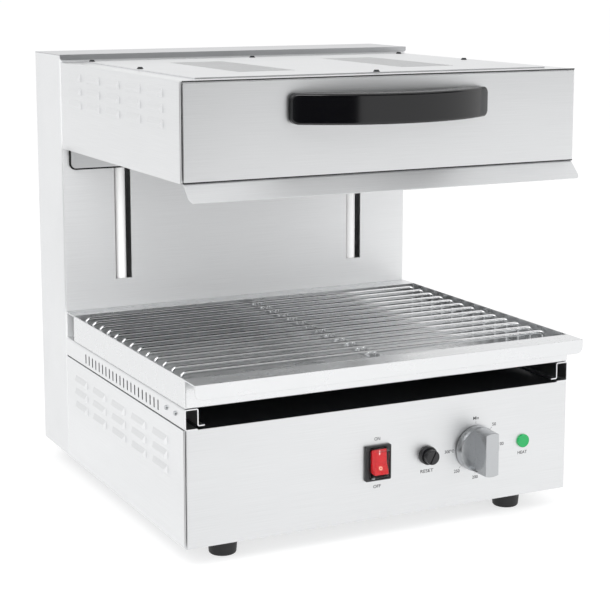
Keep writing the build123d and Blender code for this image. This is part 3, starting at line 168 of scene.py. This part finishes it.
def brushed_stainless(name, colour, grain, roughness=0.3, metallic=1.0):
    """Stainless sheet with a fine directional grain, so highlights stretch across the brushing."""
    material, tree, output = new_material(name)
    lines = noise(tree, [GRAIN_LENGTH if axis == grain else GRAIN_PITCH for axis in "XYZ"])
    bands = noise(tree, [BAND_LENGTH if axis == grain else BAND_WIDTH for axis in "XYZ"])
    both = add_node(tree, "ShaderNodeMath", {"operation": "MULTIPLY_ADD"}, {0: bands, 2: lines})
    both.inputs[1].default_value = BAND_SHARE
    shade = add_node(tree, "ShaderNodeValToRGB", links={"Fac": both.outputs[0]})
    dark, light = [[min(1.0, tone * channel) for channel in linear(colour)[:3]] + [1.0]
                   for tone in (DARKEST_GRAIN, LIGHTEST_GRAIN)]
    shade.color_ramp.elements[0].position = DARKEST_UP_TO
    shade.color_ramp.elements[0].color = dark
    shade.color_ramp.elements[1].color = light
    # the grain's sheen and its tiny relief are what the eye reads as brushing
    bump = add_node(tree, "ShaderNodeBump", links={"Height": lines}, Strength=0.08, Distance=0.05 * MM)
    shader = add_node(tree, "ShaderNodeBsdfPrincipled",
                      links={"Base Color": shade.outputs["Color"],
                             "Roughness": mapped(tree, lines, roughness - 0.04, roughness + 0.05),
                             "Normal": bump.outputs["Normal"]}, Metallic=metallic)
    finish_material(tree, output, shader)
    return material


def polished_stainless(name, colour, roughness):
    """Bright-rolled stainless: nearly a mirror, with faint waves from the rolls and the folding."""
    material, tree, output = new_material(name)
    wave = noise(tree, [90 * MM] * 3, 1.0)
    smear = noise(tree, [35 * MM, 12 * MM, 12 * MM], 4.0)
    edge = add_node(tree, "ShaderNodeBevel", {"samples": 4}, Radius=0.6 * MM)
    bump = add_node(tree, "ShaderNodeBump", links={"Height": wave, "Normal": edge.outputs[0]},
                    Strength=0.25, Distance=0.6 * MM)
    shader = add_node(tree, "ShaderNodeBsdfPrincipled",
                      links={"Roughness": varied(tree, smear, roughness, POLISH_SWING),
                             "Normal": bump.outputs["Normal"]},
                      Metallic=1.0, Base_Color=linear(colour))
    finish_material(tree, output, shader)
    return material


def plain_metal(name, colour, roughness, grain_size=2.0, metallic=1.0, painted_glow=0.0):
    """Cut or plated metal: even sheen broken by a fine mottle, whose grain_size is in millimetres."""
    material, tree, output = new_material(name)
    mottle = noise(tree, [grain_size * MM] * 3, 3.0)
    # painted_glow is an emission: painted light on a part that is no lamp
    shader = add_node(tree, "ShaderNodeBsdfPrincipled",
                      links={"Roughness": varied(tree, mottle, roughness, METAL_SWING)},
                      Metallic=metallic, Base_Color=linear(colour), Emission_Color=linear(colour),
                      Emission_Strength=painted_glow)
    finish_material(tree, output, shader)
    return material


def moulded_plastic(name, colour, roughness, grain_size=0.4, bump_depth=0.02):
    """Moulded plastic, rubber, enamel or ink: one colour with a fine texture, in millimetres."""
    material, tree, output = new_material(name)
    texture = noise(tree, [grain_size * MM] * 3)
    edge = add_node(tree, "ShaderNodeBevel", {"samples": 4}, Radius=0.4 * MM)
    bump = add_node(tree, "ShaderNodeBump", links={"Height": texture, "Normal": edge.outputs[0]},
                    Strength=0.3, Distance=bump_depth * MM)
    shader = add_node(tree, "ShaderNodeBsdfPrincipled",
                      links={"Roughness": varied(tree, texture, roughness, MOULD_SWING),
                             "Normal": bump.outputs["Normal"]},
                      Base_Color=linear(colour), IOR=1.5)
    finish_material(tree, output, shader)
    return material


def clear_plastic(name, colour, roughness, transmission=1.0, ior=1.45, painted_glow=0.0):
    """Tinted clear moulding: light passes through it and picks up its colour."""
    material, tree, output = new_material(name)
    ripple = noise(tree, [3 * MM] * 3)
    bump = add_node(tree, "ShaderNodeBump", links={"Height": ripple}, Strength=0.1, Distance=0.1 * MM)
    # painted_glow is an emission: painted light on a part that is no lamp
    shader = add_node(tree, "ShaderNodeBsdfPrincipled", links={"Normal": bump.outputs["Normal"]},
                      Base_Color=linear(colour), Roughness=roughness, IOR=ior,
                      Transmission_Weight=transmission, Emission_Color=linear(colour),
                      Emission_Strength=painted_glow)
    finish_material(tree, output, shader)
    return material


# --- Settings that a user would change -------------------------------------------------------------
class MelterFinish(bpy.types.PropertyGroup):
    """Colours of the visible finishes."""
    front: StringProperty(name="Front sheet", description="Colour of sheet brushed from side to side",
                          default="#DDDEDF")
    side: StringProperty(name="Side sheet", description="Colour of sheet brushed from front to back",
                         default="#E1E2E3")
    column: StringProperty(name="Column", description="Colour of the satin column", default="#E8E9EA")
    lip: StringProperty(name="Head lip", description="Colour of the lip under the head", default="#E4E5E6")
    # darker than the other sheets: painted shade for the cap's darker reflection
    cap: StringProperty(name="Column cap", description="Colour of the column's cap", default="#C0C1C3")
    tray: StringProperty(name="Tray steel", description="Colour of the polished tray", default="#DFE0E1")
    knob: StringProperty(name="Knob", description="Colour of the silver knob", default="#B9BBBD")
    rocker: StringProperty(name="Rocker", description="Colour of the red rocker", default="#DC2A30")
    lens: StringProperty(name="Lamp lens", description="Colour of the heat lamp", default="#22A35A")
    print_ink: StringProperty(name="Lettering", description="Colour of the printed words", default="#3A3B3D")


class MelterLettering(bpy.types.PropertyGroup):
    """Sizes of the printed words and the dial."""
    word_height: FloatProperty(name="Word height", description="Height of a printed capital",
                               default=3.5 * MM, unit="LENGTH")
    label_radius: FloatProperty(name="Dial radius", description="Dial's axis to the middle of a number",
                                default=32.5 * MM, unit="LENGTH")
    tick_length: FloatProperty(name="Tick length", description="Length of a dial mark",
                               default=2.4 * MM, unit="LENGTH")


class MelterStage(bpy.types.PropertyGroup):
    """Camera and studio."""
    camera_place: FloatVectorProperty(name="Camera", description="Camera's place in the part's frame",
                                      default=(-0.8133, -1.6501, 0.5865), subtype="TRANSLATION")
    yaw: FloatProperty(name="Yaw", description="Camera's turn to the right of +Y", default=radians(26.514),
                       subtype="ANGLE")
    pitch: FloatProperty(name="Pitch", description="Camera's tilt below level", default=radians(9.482),
                         subtype="ANGLE")
    lens: FloatProperty(name="Lens", description="Focal length on a 36 mm sensor, in mm", default=97.4)
    shift: FloatProperty(name="Shift", description="Vertical lens shift", default=-0.1)
    ambient: FloatProperty(name="Ambient", description="Strength of the room's light", default=0.85)


# --- Operators --------------------------------------------------------------------------------------
class MELTER_OT_sheet_metal(bpy.types.Operator):
    """Finish the control box, column and head panels as brushed stainless"""
    bl_idname = "melter.sheet_metal"
    bl_label = "Sheet metal"

    def execute(self, context):
        finish = context.scene.melter_finish
        # brushed from side to side: a satin front with blurred reflections
        dress(brushed_stainless("stainless_brushed_across", finish.front, "X", 0.4), "front_panel",
              "back_cover", "head_front", "head_cover", "back_plate")
        # a coarser, half dull brushing: pale and nearly even, under the head as well
        dress(brushed_stainless("stainless_brushed_column", finish.column, "X", 0.45, metallic=0.5),
              "column_shell")
        # the lip's reflections melt into one pale tone
        dress(brushed_stainless("stainless_brushed_lip", finish.lip, "X", 0.55), "head_lip")
        # the cap is coloured a shade darker than the rest: painted shade for the darker reflection along its
        # front
        dress(brushed_stainless("stainless_cap_painted_shade", finish.cap, "X"), "column_cap")
        # brushed from front to back: clearer reflections than the front's
        dress(brushed_stainless("stainless_brushed_along", finish.side, "Y"), "base_left_panel",
              "base_right_panel", "vent_strip_left", "vent_strip_right", "head_shell")
        return {"FINISHED"}


SHADE_STRIP_OUT = 2 * MM           # past the plate's rim
SHADE_STRIP_IN = 5 * MM            # in from the plate's rim, where the plate hides it
SHADE_STRIP_CORNER = 6 * MM        # the plate's own corner radius
SHADE_STRIP_STEPS = 6              # flats round a corner
SHADE_STRIP_DEPTH = 0.8 * MM
SHADE_STRIP_GAP = 0.1 * MM         # behind the plate
SEAM = 1.1 * MM
SEAM_PROUD = 0.15 * MM


class MELTER_OT_shade_strips(bpy.types.Operator):
    """Add black strips of painted shade round the head's back plate and along the head's front"""
    bl_idname = "melter.seal"
    bl_label = "Painted shade strips"

    def execute(self, context):
        low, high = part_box("back_plate")
        front = high.y + SHADE_STRIP_GAP
        shape = bmesh.new()
        rings = []
        for y in (front, front + SHADE_STRIP_DEPTH):
            rings.append([[shape.verts.new((x, y, z)) for x, z in self.outline(low, high, grow)]
                          for grow in (SHADE_STRIP_OUT, -SHADE_STRIP_IN)])
        (outer, inner), (outer_back, inner_back) = rings
        count = len(outer)
        for a, b in ((outer, inner), (inner, inner_back), (inner_back, outer_back), (outer_back, outer)):
            for i in range(count):
                j = (i + 1) % count
                shape.faces.new((a[i], a[j], b[j], b[i]))
        # dull black strips: painted shade, standing in the shadow gaps round the back plate and along the
        # head's front so they read as dark lines
        rubber = moulded_plastic("black_painted_shade", "#101011", 0.6)
        mesh = mesh_from(shape, "back_plate_painted_shade")
        new_piece("back_plate_painted_shade", mesh, rubber, "grill_head")
        # two more strips of painted shade, in the gaps at the top and foot of the head's front
        low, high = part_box("head_front")
        for name, level in (("head_seam_shade_top", high.z - SEAM / 2), ("head_seam_shade_low", low.z)):
            ends = [(x, low.y, level) for x in (low.x + SEAM, high.x - SEAM)]
            bar(name, *ends, SEAM, SEAM_PROUD, rubber, "grill_head", "black_plastic")
        return {"FINISHED"}

    def outline(self, low, high, grow):
        """Points (x, z) round the plate, grown by a margin at its sides and foot but not past its top."""
        radius = SHADE_STRIP_CORNER + grow
        points = [(low.x - grow, high.z - SHADE_STRIP_IN), (high.x + grow, high.z - SHADE_STRIP_IN)]
        if grow < 0:
            points = [(x, z + grow) for x, z in points]
        for side, first in ((high.x - SHADE_STRIP_CORNER, 0), (low.x + SHADE_STRIP_CORNER, SHADE_STRIP_STEPS)):
            for turn in range(first, first + SHADE_STRIP_STEPS + 1):
                angle = pi / 2 * turn / SHADE_STRIP_STEPS
                points.append((side + radius * cos(angle), low.z + SHADE_STRIP_CORNER - radius * sin(angle)))
        return points


class MELTER_OT_tray(bpy.types.Operator):
    """Finish the drip tray, the rack and the reflector"""
    bl_idname = "melter.tray"
    bl_label = "Tray and rack"

    def execute(self, context):
        # bright-rolled sheet: reflects its surroundings in soft, slow waves
        dress(polished_stainless("stainless_bright", context.scene.melter_finish.tray, 0.28), "drip_tray")
        # the same sheet in a darker tone: painted shade for the hollow under the head, seen as a dark
        # blurred mirror
        dress(polished_stainless("stainless_reflector_painted_shade", "#5C5D5F", 0.3), "reflector")
        # chrome plating: sharp bright and dark lines along each wire
        dress(plain_metal("chromed_wire", "#F0F1F2", 0.1), "wire_rack")
        # ground steel with a weak painted glow, so the rods shine out of the dark column as even pale strips
        dress(plain_metal("ground_steel_rod_painted_glow", "#FAFAFA", 0.5, metallic=0.0, painted_glow=0.12), "guide_rods",
              "strut_rod")
        return {"FINISHED"}


class MELTER_OT_hidden_metal(bpy.types.Operator):
    """Finish the deck, floor, lifting gear, elements and fasteners"""
    bl_idname = "melter.hidden_metal"
    bl_label = "Inner parts"

    def execute(self, context):
        # stove enamel: black with a soft shine on a faintly rippled skin
        dress(moulded_plastic("stove_enamel_black", "#1B1C1E", 0.42, grain_size=1.2), "base_deck",
              "strut_tube")
        # zinc plating: cold grey with a cloudy sheen
        dress(plain_metal("zinc_plated_steel", "#9EA2A5", 0.38, grain_size=6.0), "base_floor",
              "rod_clamps", "sliders", "yoke", "strut_bracket", "element_clips", "gland_nut")
        # plain and blackened screws: small glints, bright or dull
        dress(plain_metal("steel_bright_screw", "#B4B7B9", 0.22), "strip_screws", "back_cover_screws",
              "foot_bolts", "slider_bolts", "handle_bolts", "strut_top_pin", "strut_bottom_pin",
              "knob_shaft")
        dress(plain_metal("steel_black_screw", "#3B3C3E", 0.35), "cover_screws")
        # the elements' steel sheath, oxidised to a dull brown grey
        dress(plain_metal("element_sheath_oxidised", "#4C4A48", 0.5), "element_front", "element_rear")
        # sintered bronze is a dull yellow brown, and turned brass a shinier yellow
        dress(plain_metal("sintered_bronze", "#A8824A", 0.45), "slider_bushes")
        dress(plain_metal("brass", "#C2A35A", 0.3), "switch_terminals", "terminal_screws")
        # steatite is an unglazed ceramic, off-white and matt
        dress(moulded_plastic("steatite", "#E8E4D8", 0.6), "element_bushes")
        # mineral wool: matt, with a rough nap
        dress(moulded_plastic("mineral_wool", "#CFC9B4", 0.95, grain_size=1.5, bump_depth=0.5), "insulation")
        # urea moulding: a pale, hard plastic with a weak shine
        dress(moulded_plastic("urea_moulding_pale", "#B8B4A8", 0.5), "thermostat", "terminal_block")
        return {"FINISHED"}


class MELTER_OT_handle_and_feet(bpy.types.Operator):
    """Finish the bowed handle and the rubber feet"""
    bl_idname = "melter.handle_and_feet"
    bl_label = "Handle and feet"

    def execute(self, context):
        # phenolic resin: deep black gloss with sharp highlights
        dress(moulded_plastic("phenolic_black_gloss", "#08080A", 0.14, grain_size=0.8, bump_depth=0.004),
              "handle")
        # rubber: dull black with a fine tooth
        dress(moulded_plastic("rubber_black", "#19191A", 0.55, grain_size=0.5, bump_depth=0.04),
              "foot_front_left", "foot_front_right", "foot_rear_left", "foot_rear_right")
        # nylon: black with a weak sheen
        dress(moulded_plastic("nylon_black", "#161617", 0.4), "cable_gland")
        return {"FINISHED"}


MARK_HEIGHT = 0.3 * MM      # marks stand this far off the mean plane of the rocker's face
MARK_TOWARDS_END = 3.2 * MM # the bar's way from the middle of its face
RING_HOLE = 0.55            # inner radius over the outer
BAR_HALVES = (0.6 * MM, 1.9 * MM)       # half its width and half its height
RING_HALVES = (2.0 * MM, 2.0 * MM)


def rocker_face(upper):
    """Middle and outward normal of the rocker's upper or lower front face."""
    mesh = NODES["rocker"].data
    level = middle("rocker").z
    faces = [face for face in mesh.polygons
             if face.normal.y < -0.9 and (face.center.z > level) == upper]
    area = sum(face.area for face in faces)
    centre = sum((face.center * face.area for face in faces), Vector()) / area
    normal = sum((face.normal * face.area for face in faces), Vector()).normalized()
    return centre, normal


class MELTER_OT_controls(bpy.types.Operator):
    """Finish the switch, reset button, knob and lamp, and add the marks on the rocker"""
    bl_idname = "melter.controls"
    bl_label = "Controls"

    def execute(self, context):
        finish = context.scene.melter_finish
        # satin nylon: soft highlights along its edges
        dress(moulded_plastic("nylon_black_satin", "#1A1A1C", 0.33), "switch_housing", "reset_ring",
              "reset_cap", "reset_cutout", "lamp_holder")
        # dyed acrylic: glossy, lets some light through, and a weak painted glow stands in for more of that
        # light
        dress(clear_plastic("acrylic_red", finish.rocker, 0.15, transmission=0.25, ior=1.49, painted_glow=0.2),
              "rocker")
        dress(clear_plastic("acrylic_green", finish.lens, 0.12, transmission=0.2, ior=1.49, painted_glow=0.16),
              "lamp_lens")
        # thin silicone over the switch: clear, and seen by its highlights alone
        dress(clear_plastic("silicone_clear_grey", "#E6E4E4", 0.2, ior=1.2), "switch_boot")
        # satin silver plating: soft bright and dark sides
        dress(plain_metal("knob_satin_silver", finish.knob, 0.3, grain_size=0.8), "knob")
        # matt paint on the rocker, with a painted glow that keeps its tone under the silicone
        white = clear_plastic("marking_white", "#F6F6F4", 0.5, transmission=0.0, painted_glow=0.5)
        salmon = clear_plastic("marking_salmon", "#F8C4A8", 0.5, transmission=0.0, painted_glow=0.5)
        self.rocker_mark("rocker_mark_on", True, 4, BAR_HALVES, white)
        self.rocker_mark("rocker_mark_off", False, 32, RING_HALVES, salmon)
        return {"FINISHED"}

    def rocker_mark(self, name, upper, sides, halves, material):
        """A printed bar (4 sides) or ring (more sides) on one of the rocker's two front faces."""
        centre, normal = rocker_face(upper)
        up = (Vector((0, 0, 1)) - normal * normal.z).normalized()
        right = up.cross(normal)
        if upper:
            centre = centre + up * MARK_TOWARDS_END
        turns = [2 * pi * (i + 0.5) / sides for i in range(sides)]
        reach = 1 / cos(pi / sides)
        rim = [(right * halves[0] * sin(turn) + up * halves[1] * cos(turn)) * reach for turn in turns]
        lift = normal * MARK_HEIGHT
        shape = bmesh.new()
        outer = [shape.verts.new(centre + lift + spoke) for spoke in rim]
        if sides == 4:
            shape.faces.new(outer)
        else:
            inner = [shape.verts.new(centre + lift + spoke * RING_HOLE) for spoke in rim]
            for i in range(sides):
                j = (i + 1) % sides
                shape.faces.new((outer[i], outer[j], inner[j], inner[i]))
        new_piece(name, mesh_from(shape, name), material, "switch_rocker")


STROKE = 0.012              # a printed stroke is bolder than the font's by this, in letter heights
INK_DEPTH = 0.05 * MM


def printed_word(name, text, place, height, material, width=None):
    """A printed word on the front panel: place is (x, z) of its middle, height that of a capital."""
    curve = bpy.data.curves.new(name, "FONT")
    curve.body = text
    curve.align_x = "CENTER"
    curve.extrude = INK_DEPTH
    curve.offset = STROKE
    source = bpy.data.objects.new(name + "_source", curve)
    bpy.context.scene.collection.objects.link(source)
    bpy.context.view_layer.update()
    mesh = bpy.data.meshes.new_from_object(source.evaluated_get(bpy.context.evaluated_depsgraph_get()))
    bpy.data.objects.remove(source)
    xs = [v.co.x for v in mesh.vertices]
    ys = [v.co.y for v in mesh.vertices]
    tall = height / (max(ys) - min(ys))
    wide = width / (max(xs) - min(xs)) if width else tall
    centre = Vector(((max(xs) + min(xs)) / 2, (max(ys) + min(ys)) / 2, 0))
    for vertex in mesh.vertices:
        flat = vertex.co - centre
        vertex.co = (place[0] + flat.x * wide, PANEL_FACE - flat.z, place[1] + flat.y * tall)
    new_piece(name, mesh, material, "root")


def bar(name, start, end, width, depth, material, body, slot_name):
    """A thin raised bar on a plane that faces -Y, from one (x, z) to the other, at start's depth."""
    shape = bmesh.new()
    along = (Vector(end) - Vector(start)).normalized()
    across = Vector((-along.z, 0, along.x)) * width / 2
    corners = [Vector(p) + s * across for p, s in ((start, 1), (start, -1), (end, -1), (end, 1))]
    front = [shape.verts.new(c + Vector((0, -depth, 0))) for c in corners]
    back = [shape.verts.new(c) for c in corners]
    shape.faces.new(front)
    shape.faces.new(back[::-1])
    for i in range(4):
        j = (i + 1) % 4
        shape.faces.new((front[i], front[j], back[j], back[i]))
    new_piece(name, mesh_from(shape, name), material, body)


# text, middle from side to side, middle above the panel's foot in mm, width in mm
WORDS = (("ON", SWITCH.x, 85.6, 6.8), ("OFF", SWITCH.x, 34.7, 8.8), ("RESET", RESET.x, 43.0, 15.6),
         ("HEAT", LAMP.x, 47.4, 12.0))
DIAL_LABELS = ("Min", "50", "100", None, "200", "250", "300°C")
DIAL_STEP = radians(45)
TICK_GAP = 1.8 * MM         # knob's skirt to a tick
TICK_WIDTH = 0.35 * MM


class MELTER_OT_lettering(bpy.types.Operator):
    """Print the words and the dial on the front panel"""
    bl_idname = "melter.lettering"
    bl_label = "Lettering"

    def execute(self, context):
        sizes = context.scene.melter_lettering
        # screen ink: flat dark grey, too thin to catch the light
        ink = moulded_plastic("screen_ink", context.scene.melter_finish.print_ink, 0.6)
        high = sizes.word_height
        for text, x, row, wide in WORDS:
            place = (x, PANEL_LOW + row * MM)
            printed_word("word_" + text.lower(), text, place, high, ink, wide * MM)
        for index, label in enumerate(DIAL_LABELS):
            angle = index * DIAL_STEP
            out = Vector((sin(angle), 0, cos(angle)))
            base = Vector((DIAL.x, PANEL_FACE, DIAL.z))
            near = base + out * (KNOB_RADIUS + TICK_GAP)
            far = near + out * sizes.tick_length
            bar(f"dial_tick_{index}", near, far, TICK_WIDTH, INK_DEPTH, ink, "root", "switch_plastic")
            if label:
                spot = base + out * sizes.label_radius
                printed_word(f"dial_label_{index}", label, (spot.x, spot.z), high, ink)
        return {"FINISHED"}


CARD_RADIUS = 0.95
NEAR_CARD_RADIUS = 0.012
FOLD_AXIS = Vector((2.5, 2.5, 0)) * MM    # from a fold's outer corner to the axis of its bend
FLOOR_REACH = 60.0          # so far that no horizon shows
PAPER_LIFT = 0.63           # makes the paper white where it is seen; its shadow stays
NEAR_CARD_TURNS = (40, 95)
CARD_STEPS = 16
LAMP_AIM = Vector((0, 0, 0.25))


def stage_plane(name, corners, material):
    """A flat sheet of the studio, from its four corners."""
    mesh = bpy.data.meshes.new(name)
    mesh.from_pydata(corners, [], [(0, 1, 2, 3)])
    mesh.materials.append(material)
    sheet = bpy.data.objects.new(name, mesh)
    bpy.context.scene.collection.objects.link(sheet)


class MELTER_OT_stage(bpy.types.Operator):
    """Set up the white floor, the room's light, the lamps and the camera"""
    bl_idname = "melter.stage"
    bl_label = "Stage and camera"

    def execute(self, context):
        scene = context.scene
        stage = scene.melter_stage
        scene.view_settings.view_transform = "Standard"
        self.room(scene, stage.ambient)
        corners = [(x * FLOOR_REACH, y * FLOOR_REACH, 0) for x, y in ((-1, -1), (1, -1), (1, 1), (-1, 1))]
        stage_plane("floor", corners, self.floor_material())
        # black cards seen only in reflections paint dark reflections on the edges and folds; the small ones
        # hug the front corners' folds
        self.card("card_corners", (8, 45), (0.0, 0.85))
        self.card("card_edges", (-62, 8), (0.52, 1.0))
        head, box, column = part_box("head_front"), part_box("front_panel"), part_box("column_shell")
        between = (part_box("drip_tray")[1].z, head[0].z)
        for name, corner, heights in (("card_head_fold", box[0], (head[0].z, head[1].z)),
                                      ("card_base_fold", box[0], (box[0].z, box[1].z)),
                                      ("card_column_fold", column[0], between)):
            fold = Vector((corner.x, corner.y, 0)) + FOLD_AXIS
            self.card(name, NEAR_CARD_TURNS, heights, fold, NEAR_CARD_RADIUS)
        self.lamp(scene, "key", (-1.6, -1.5, 2.2), size=1.6, power=26)
        self.lamp(scene, "fill", (1.8, -1.6, 1.4), size=1.4, power=10)
        # from beside the camera, for what stands under the head; nothing mirrors it
        self.lamp(scene, "front", (-0.8, -1.7, 0.4), size=0.8, power=20).visible_glossy = False
        self.camera(scene, stage)
        return {"FINISHED"}

    def seen_white(self, tree):
        """1 on camera, glossy and transmission rays, which see the white studio."""
        path = add_node(tree, "ShaderNodeLightPath")
        camera, glossy = path.outputs["Is Camera Ray"], path.outputs["Is Glossy Ray"]
        first = add_node(tree, "ShaderNodeMath", {"operation": "MAXIMUM"}, {0: camera, 1: glossy})
        passed = path.outputs["Is Transmission Ray"]
        both = add_node(tree, "ShaderNodeMath", {"operation": "MAXIMUM"}, {0: first.outputs[0], 1: passed})
        return both.outputs[0]

    def room(self, scene, ambient):
        """World: plain light on the object, and white where the camera, metal or glass sees it."""
        world = bpy.data.worlds.new("studio")
        scene.world = world
        world.use_nodes = True
        tree = world.node_tree
        tree.nodes.clear()
        output = add_node(tree, "ShaderNodeOutputWorld")
        light = add_node(tree, "ShaderNodeBackground", Color=(1, 1, 1, 1), Strength=ambient)
        white = add_node(tree, "ShaderNodeBackground", Color=(1, 1, 1, 1), Strength=1.0)
        mix = add_node(tree, "ShaderNodeMixShader", links={"Fac": self.seen_white(tree)})
        tree.links.new(light.outputs[0], mix.inputs[1])
        tree.links.new(white.outputs[0], mix.inputs[2])
        tree.links.new(mix.outputs[0], output.inputs["Surface"])

    def floor_material(self):
        """Paper floor that takes the object's shadow, and is lifted to white where it is seen."""
        material, tree, output = new_material("paper_white")
        paper = add_node(tree, "ShaderNodeBsdfDiffuse", Color=linear("#B4B4B4"))
        lift = add_node(tree, "ShaderNodeEmission", Color=(1, 1, 1, 1))
        strength = add_node(tree, "ShaderNodeMath", {"operation": "MULTIPLY"}, {0: self.seen_white(tree)})
        strength.inputs[1].default_value = PAPER_LIFT
        tree.links.new(strength.outputs[0], lift.inputs["Strength"])
        both = add_node(tree, "ShaderNodeAddShader")
        tree.links.new(paper.outputs[0], both.inputs[0])
        tree.links.new(lift.outputs[0], both.inputs[1])
        finish_material(tree, output, both)
        return material

    def card(self, name, turns, heights, centre=Vector(), radius=CARD_RADIUS):
        """A curved black card seen only in reflections, which paints dark reflections along the folds.

        It runs between two turns, in degrees from the front towards the object's left.
        """
        material, tree, output = new_material(name + "_black")
        finish_material(tree, output, add_node(tree, "ShaderNodeBsdfDiffuse", Color=linear("#0A0A0A")))
        shape = bmesh.new()
        rows = []
        for i in range(CARD_STEPS + 1):
            turn = radians(turns[0] + (turns[1] - turns[0]) * i / CARD_STEPS)
            foot = centre + Vector((-sin(turn), -cos(turn), 0)) * radius
            rows.append([shape.verts.new(foot + Vector((0, 0, z))) for z in heights])
        for near, far in zip(rows, rows[1:]):
            shape.faces.new((near[0], far[0], far[1], near[1]))
        mesh = mesh_from(shape, name)
        mesh.materials.append(material)
        card = bpy.data.objects.new(name, mesh)
        bpy.context.scene.collection.objects.link(card)
        for ray in ("camera", "diffuse", "transmission", "shadow"):
            setattr(card, "visible_" + ray, False)

    def lamp(self, scene, name, place, size, power):
        """A large soft lamp that looks at the middle of the object."""
        light = bpy.data.lights.new(name, "AREA")
        light.shape = "DISK"
        light.size = size
        light.energy = power
        lamp = bpy.data.objects.new(name, light)
        scene.collection.objects.link(lamp)
        lamp.location = place
        toward = LAMP_AIM - Vector(place)
        lamp.rotation_euler = toward.to_track_quat("-Z", "Y").to_euler()
        return lamp

    def camera(self, scene, stage):
        """The photograph's camera."""
        data = bpy.data.cameras.new("camera")
        data.lens = stage.lens
        data.sensor_width = 36.0
        data.shift_y = stage.shift
        camera = bpy.data.objects.new("camera", data)
        scene.collection.objects.link(camera)
        camera.location = stage.camera_place
        camera.rotation_euler = (radians(90) - stage.pitch, 0, -stage.yaw)
        scene.camera = camera


class MELTER_PT_panel(bpy.types.Panel):
    """Steps and settings of the cheese melter's dressing"""
    bl_idname = "MELTER_PT_panel"
    bl_label = "Cheese Melter"
    bl_space_type = "VIEW_3D"
    bl_region_type = "UI"
    bl_category = "Cheese Melter"

    def draw(self, context):
        for group in (context.scene.melter_finish, context.scene.melter_lettering,
                      context.scene.melter_stage):
            column = self.layout.column()
            for name in group.__annotations__:
                column.prop(group, name)
        for operator in STEPS:
            self.layout.operator(operator.bl_idname)


STEPS = (MELTER_OT_sheet_metal, MELTER_OT_shade_strips, MELTER_OT_tray, MELTER_OT_hidden_metal,
         MELTER_OT_handle_and_feet, MELTER_OT_controls, MELTER_OT_lettering, MELTER_OT_stage)
GROUPS = {"melter_finish": MelterFinish, "melter_lettering": MelterLettering, "melter_stage": MelterStage}
CLASSES = (*GROUPS.values(), *STEPS, MELTER_PT_panel)


def register():
    for cls in CLASSES:
        bpy.utils.register_class(cls)
    for name, group in GROUPS.items():
        setattr(bpy.types.Scene, name, PointerProperty(type=group))


def unregister():
    for name in GROUPS:
        delattr(bpy.types.Scene, name)
    for cls in reversed(CLASSES):
        bpy.utils.unregister_class(cls)


def main():
    register()
    for operator in STEPS:
        family, step = operator.bl_idname.split(".")
        getattr(getattr(bpy.ops, family), step)()


if __name__ == "__main__":
    main()
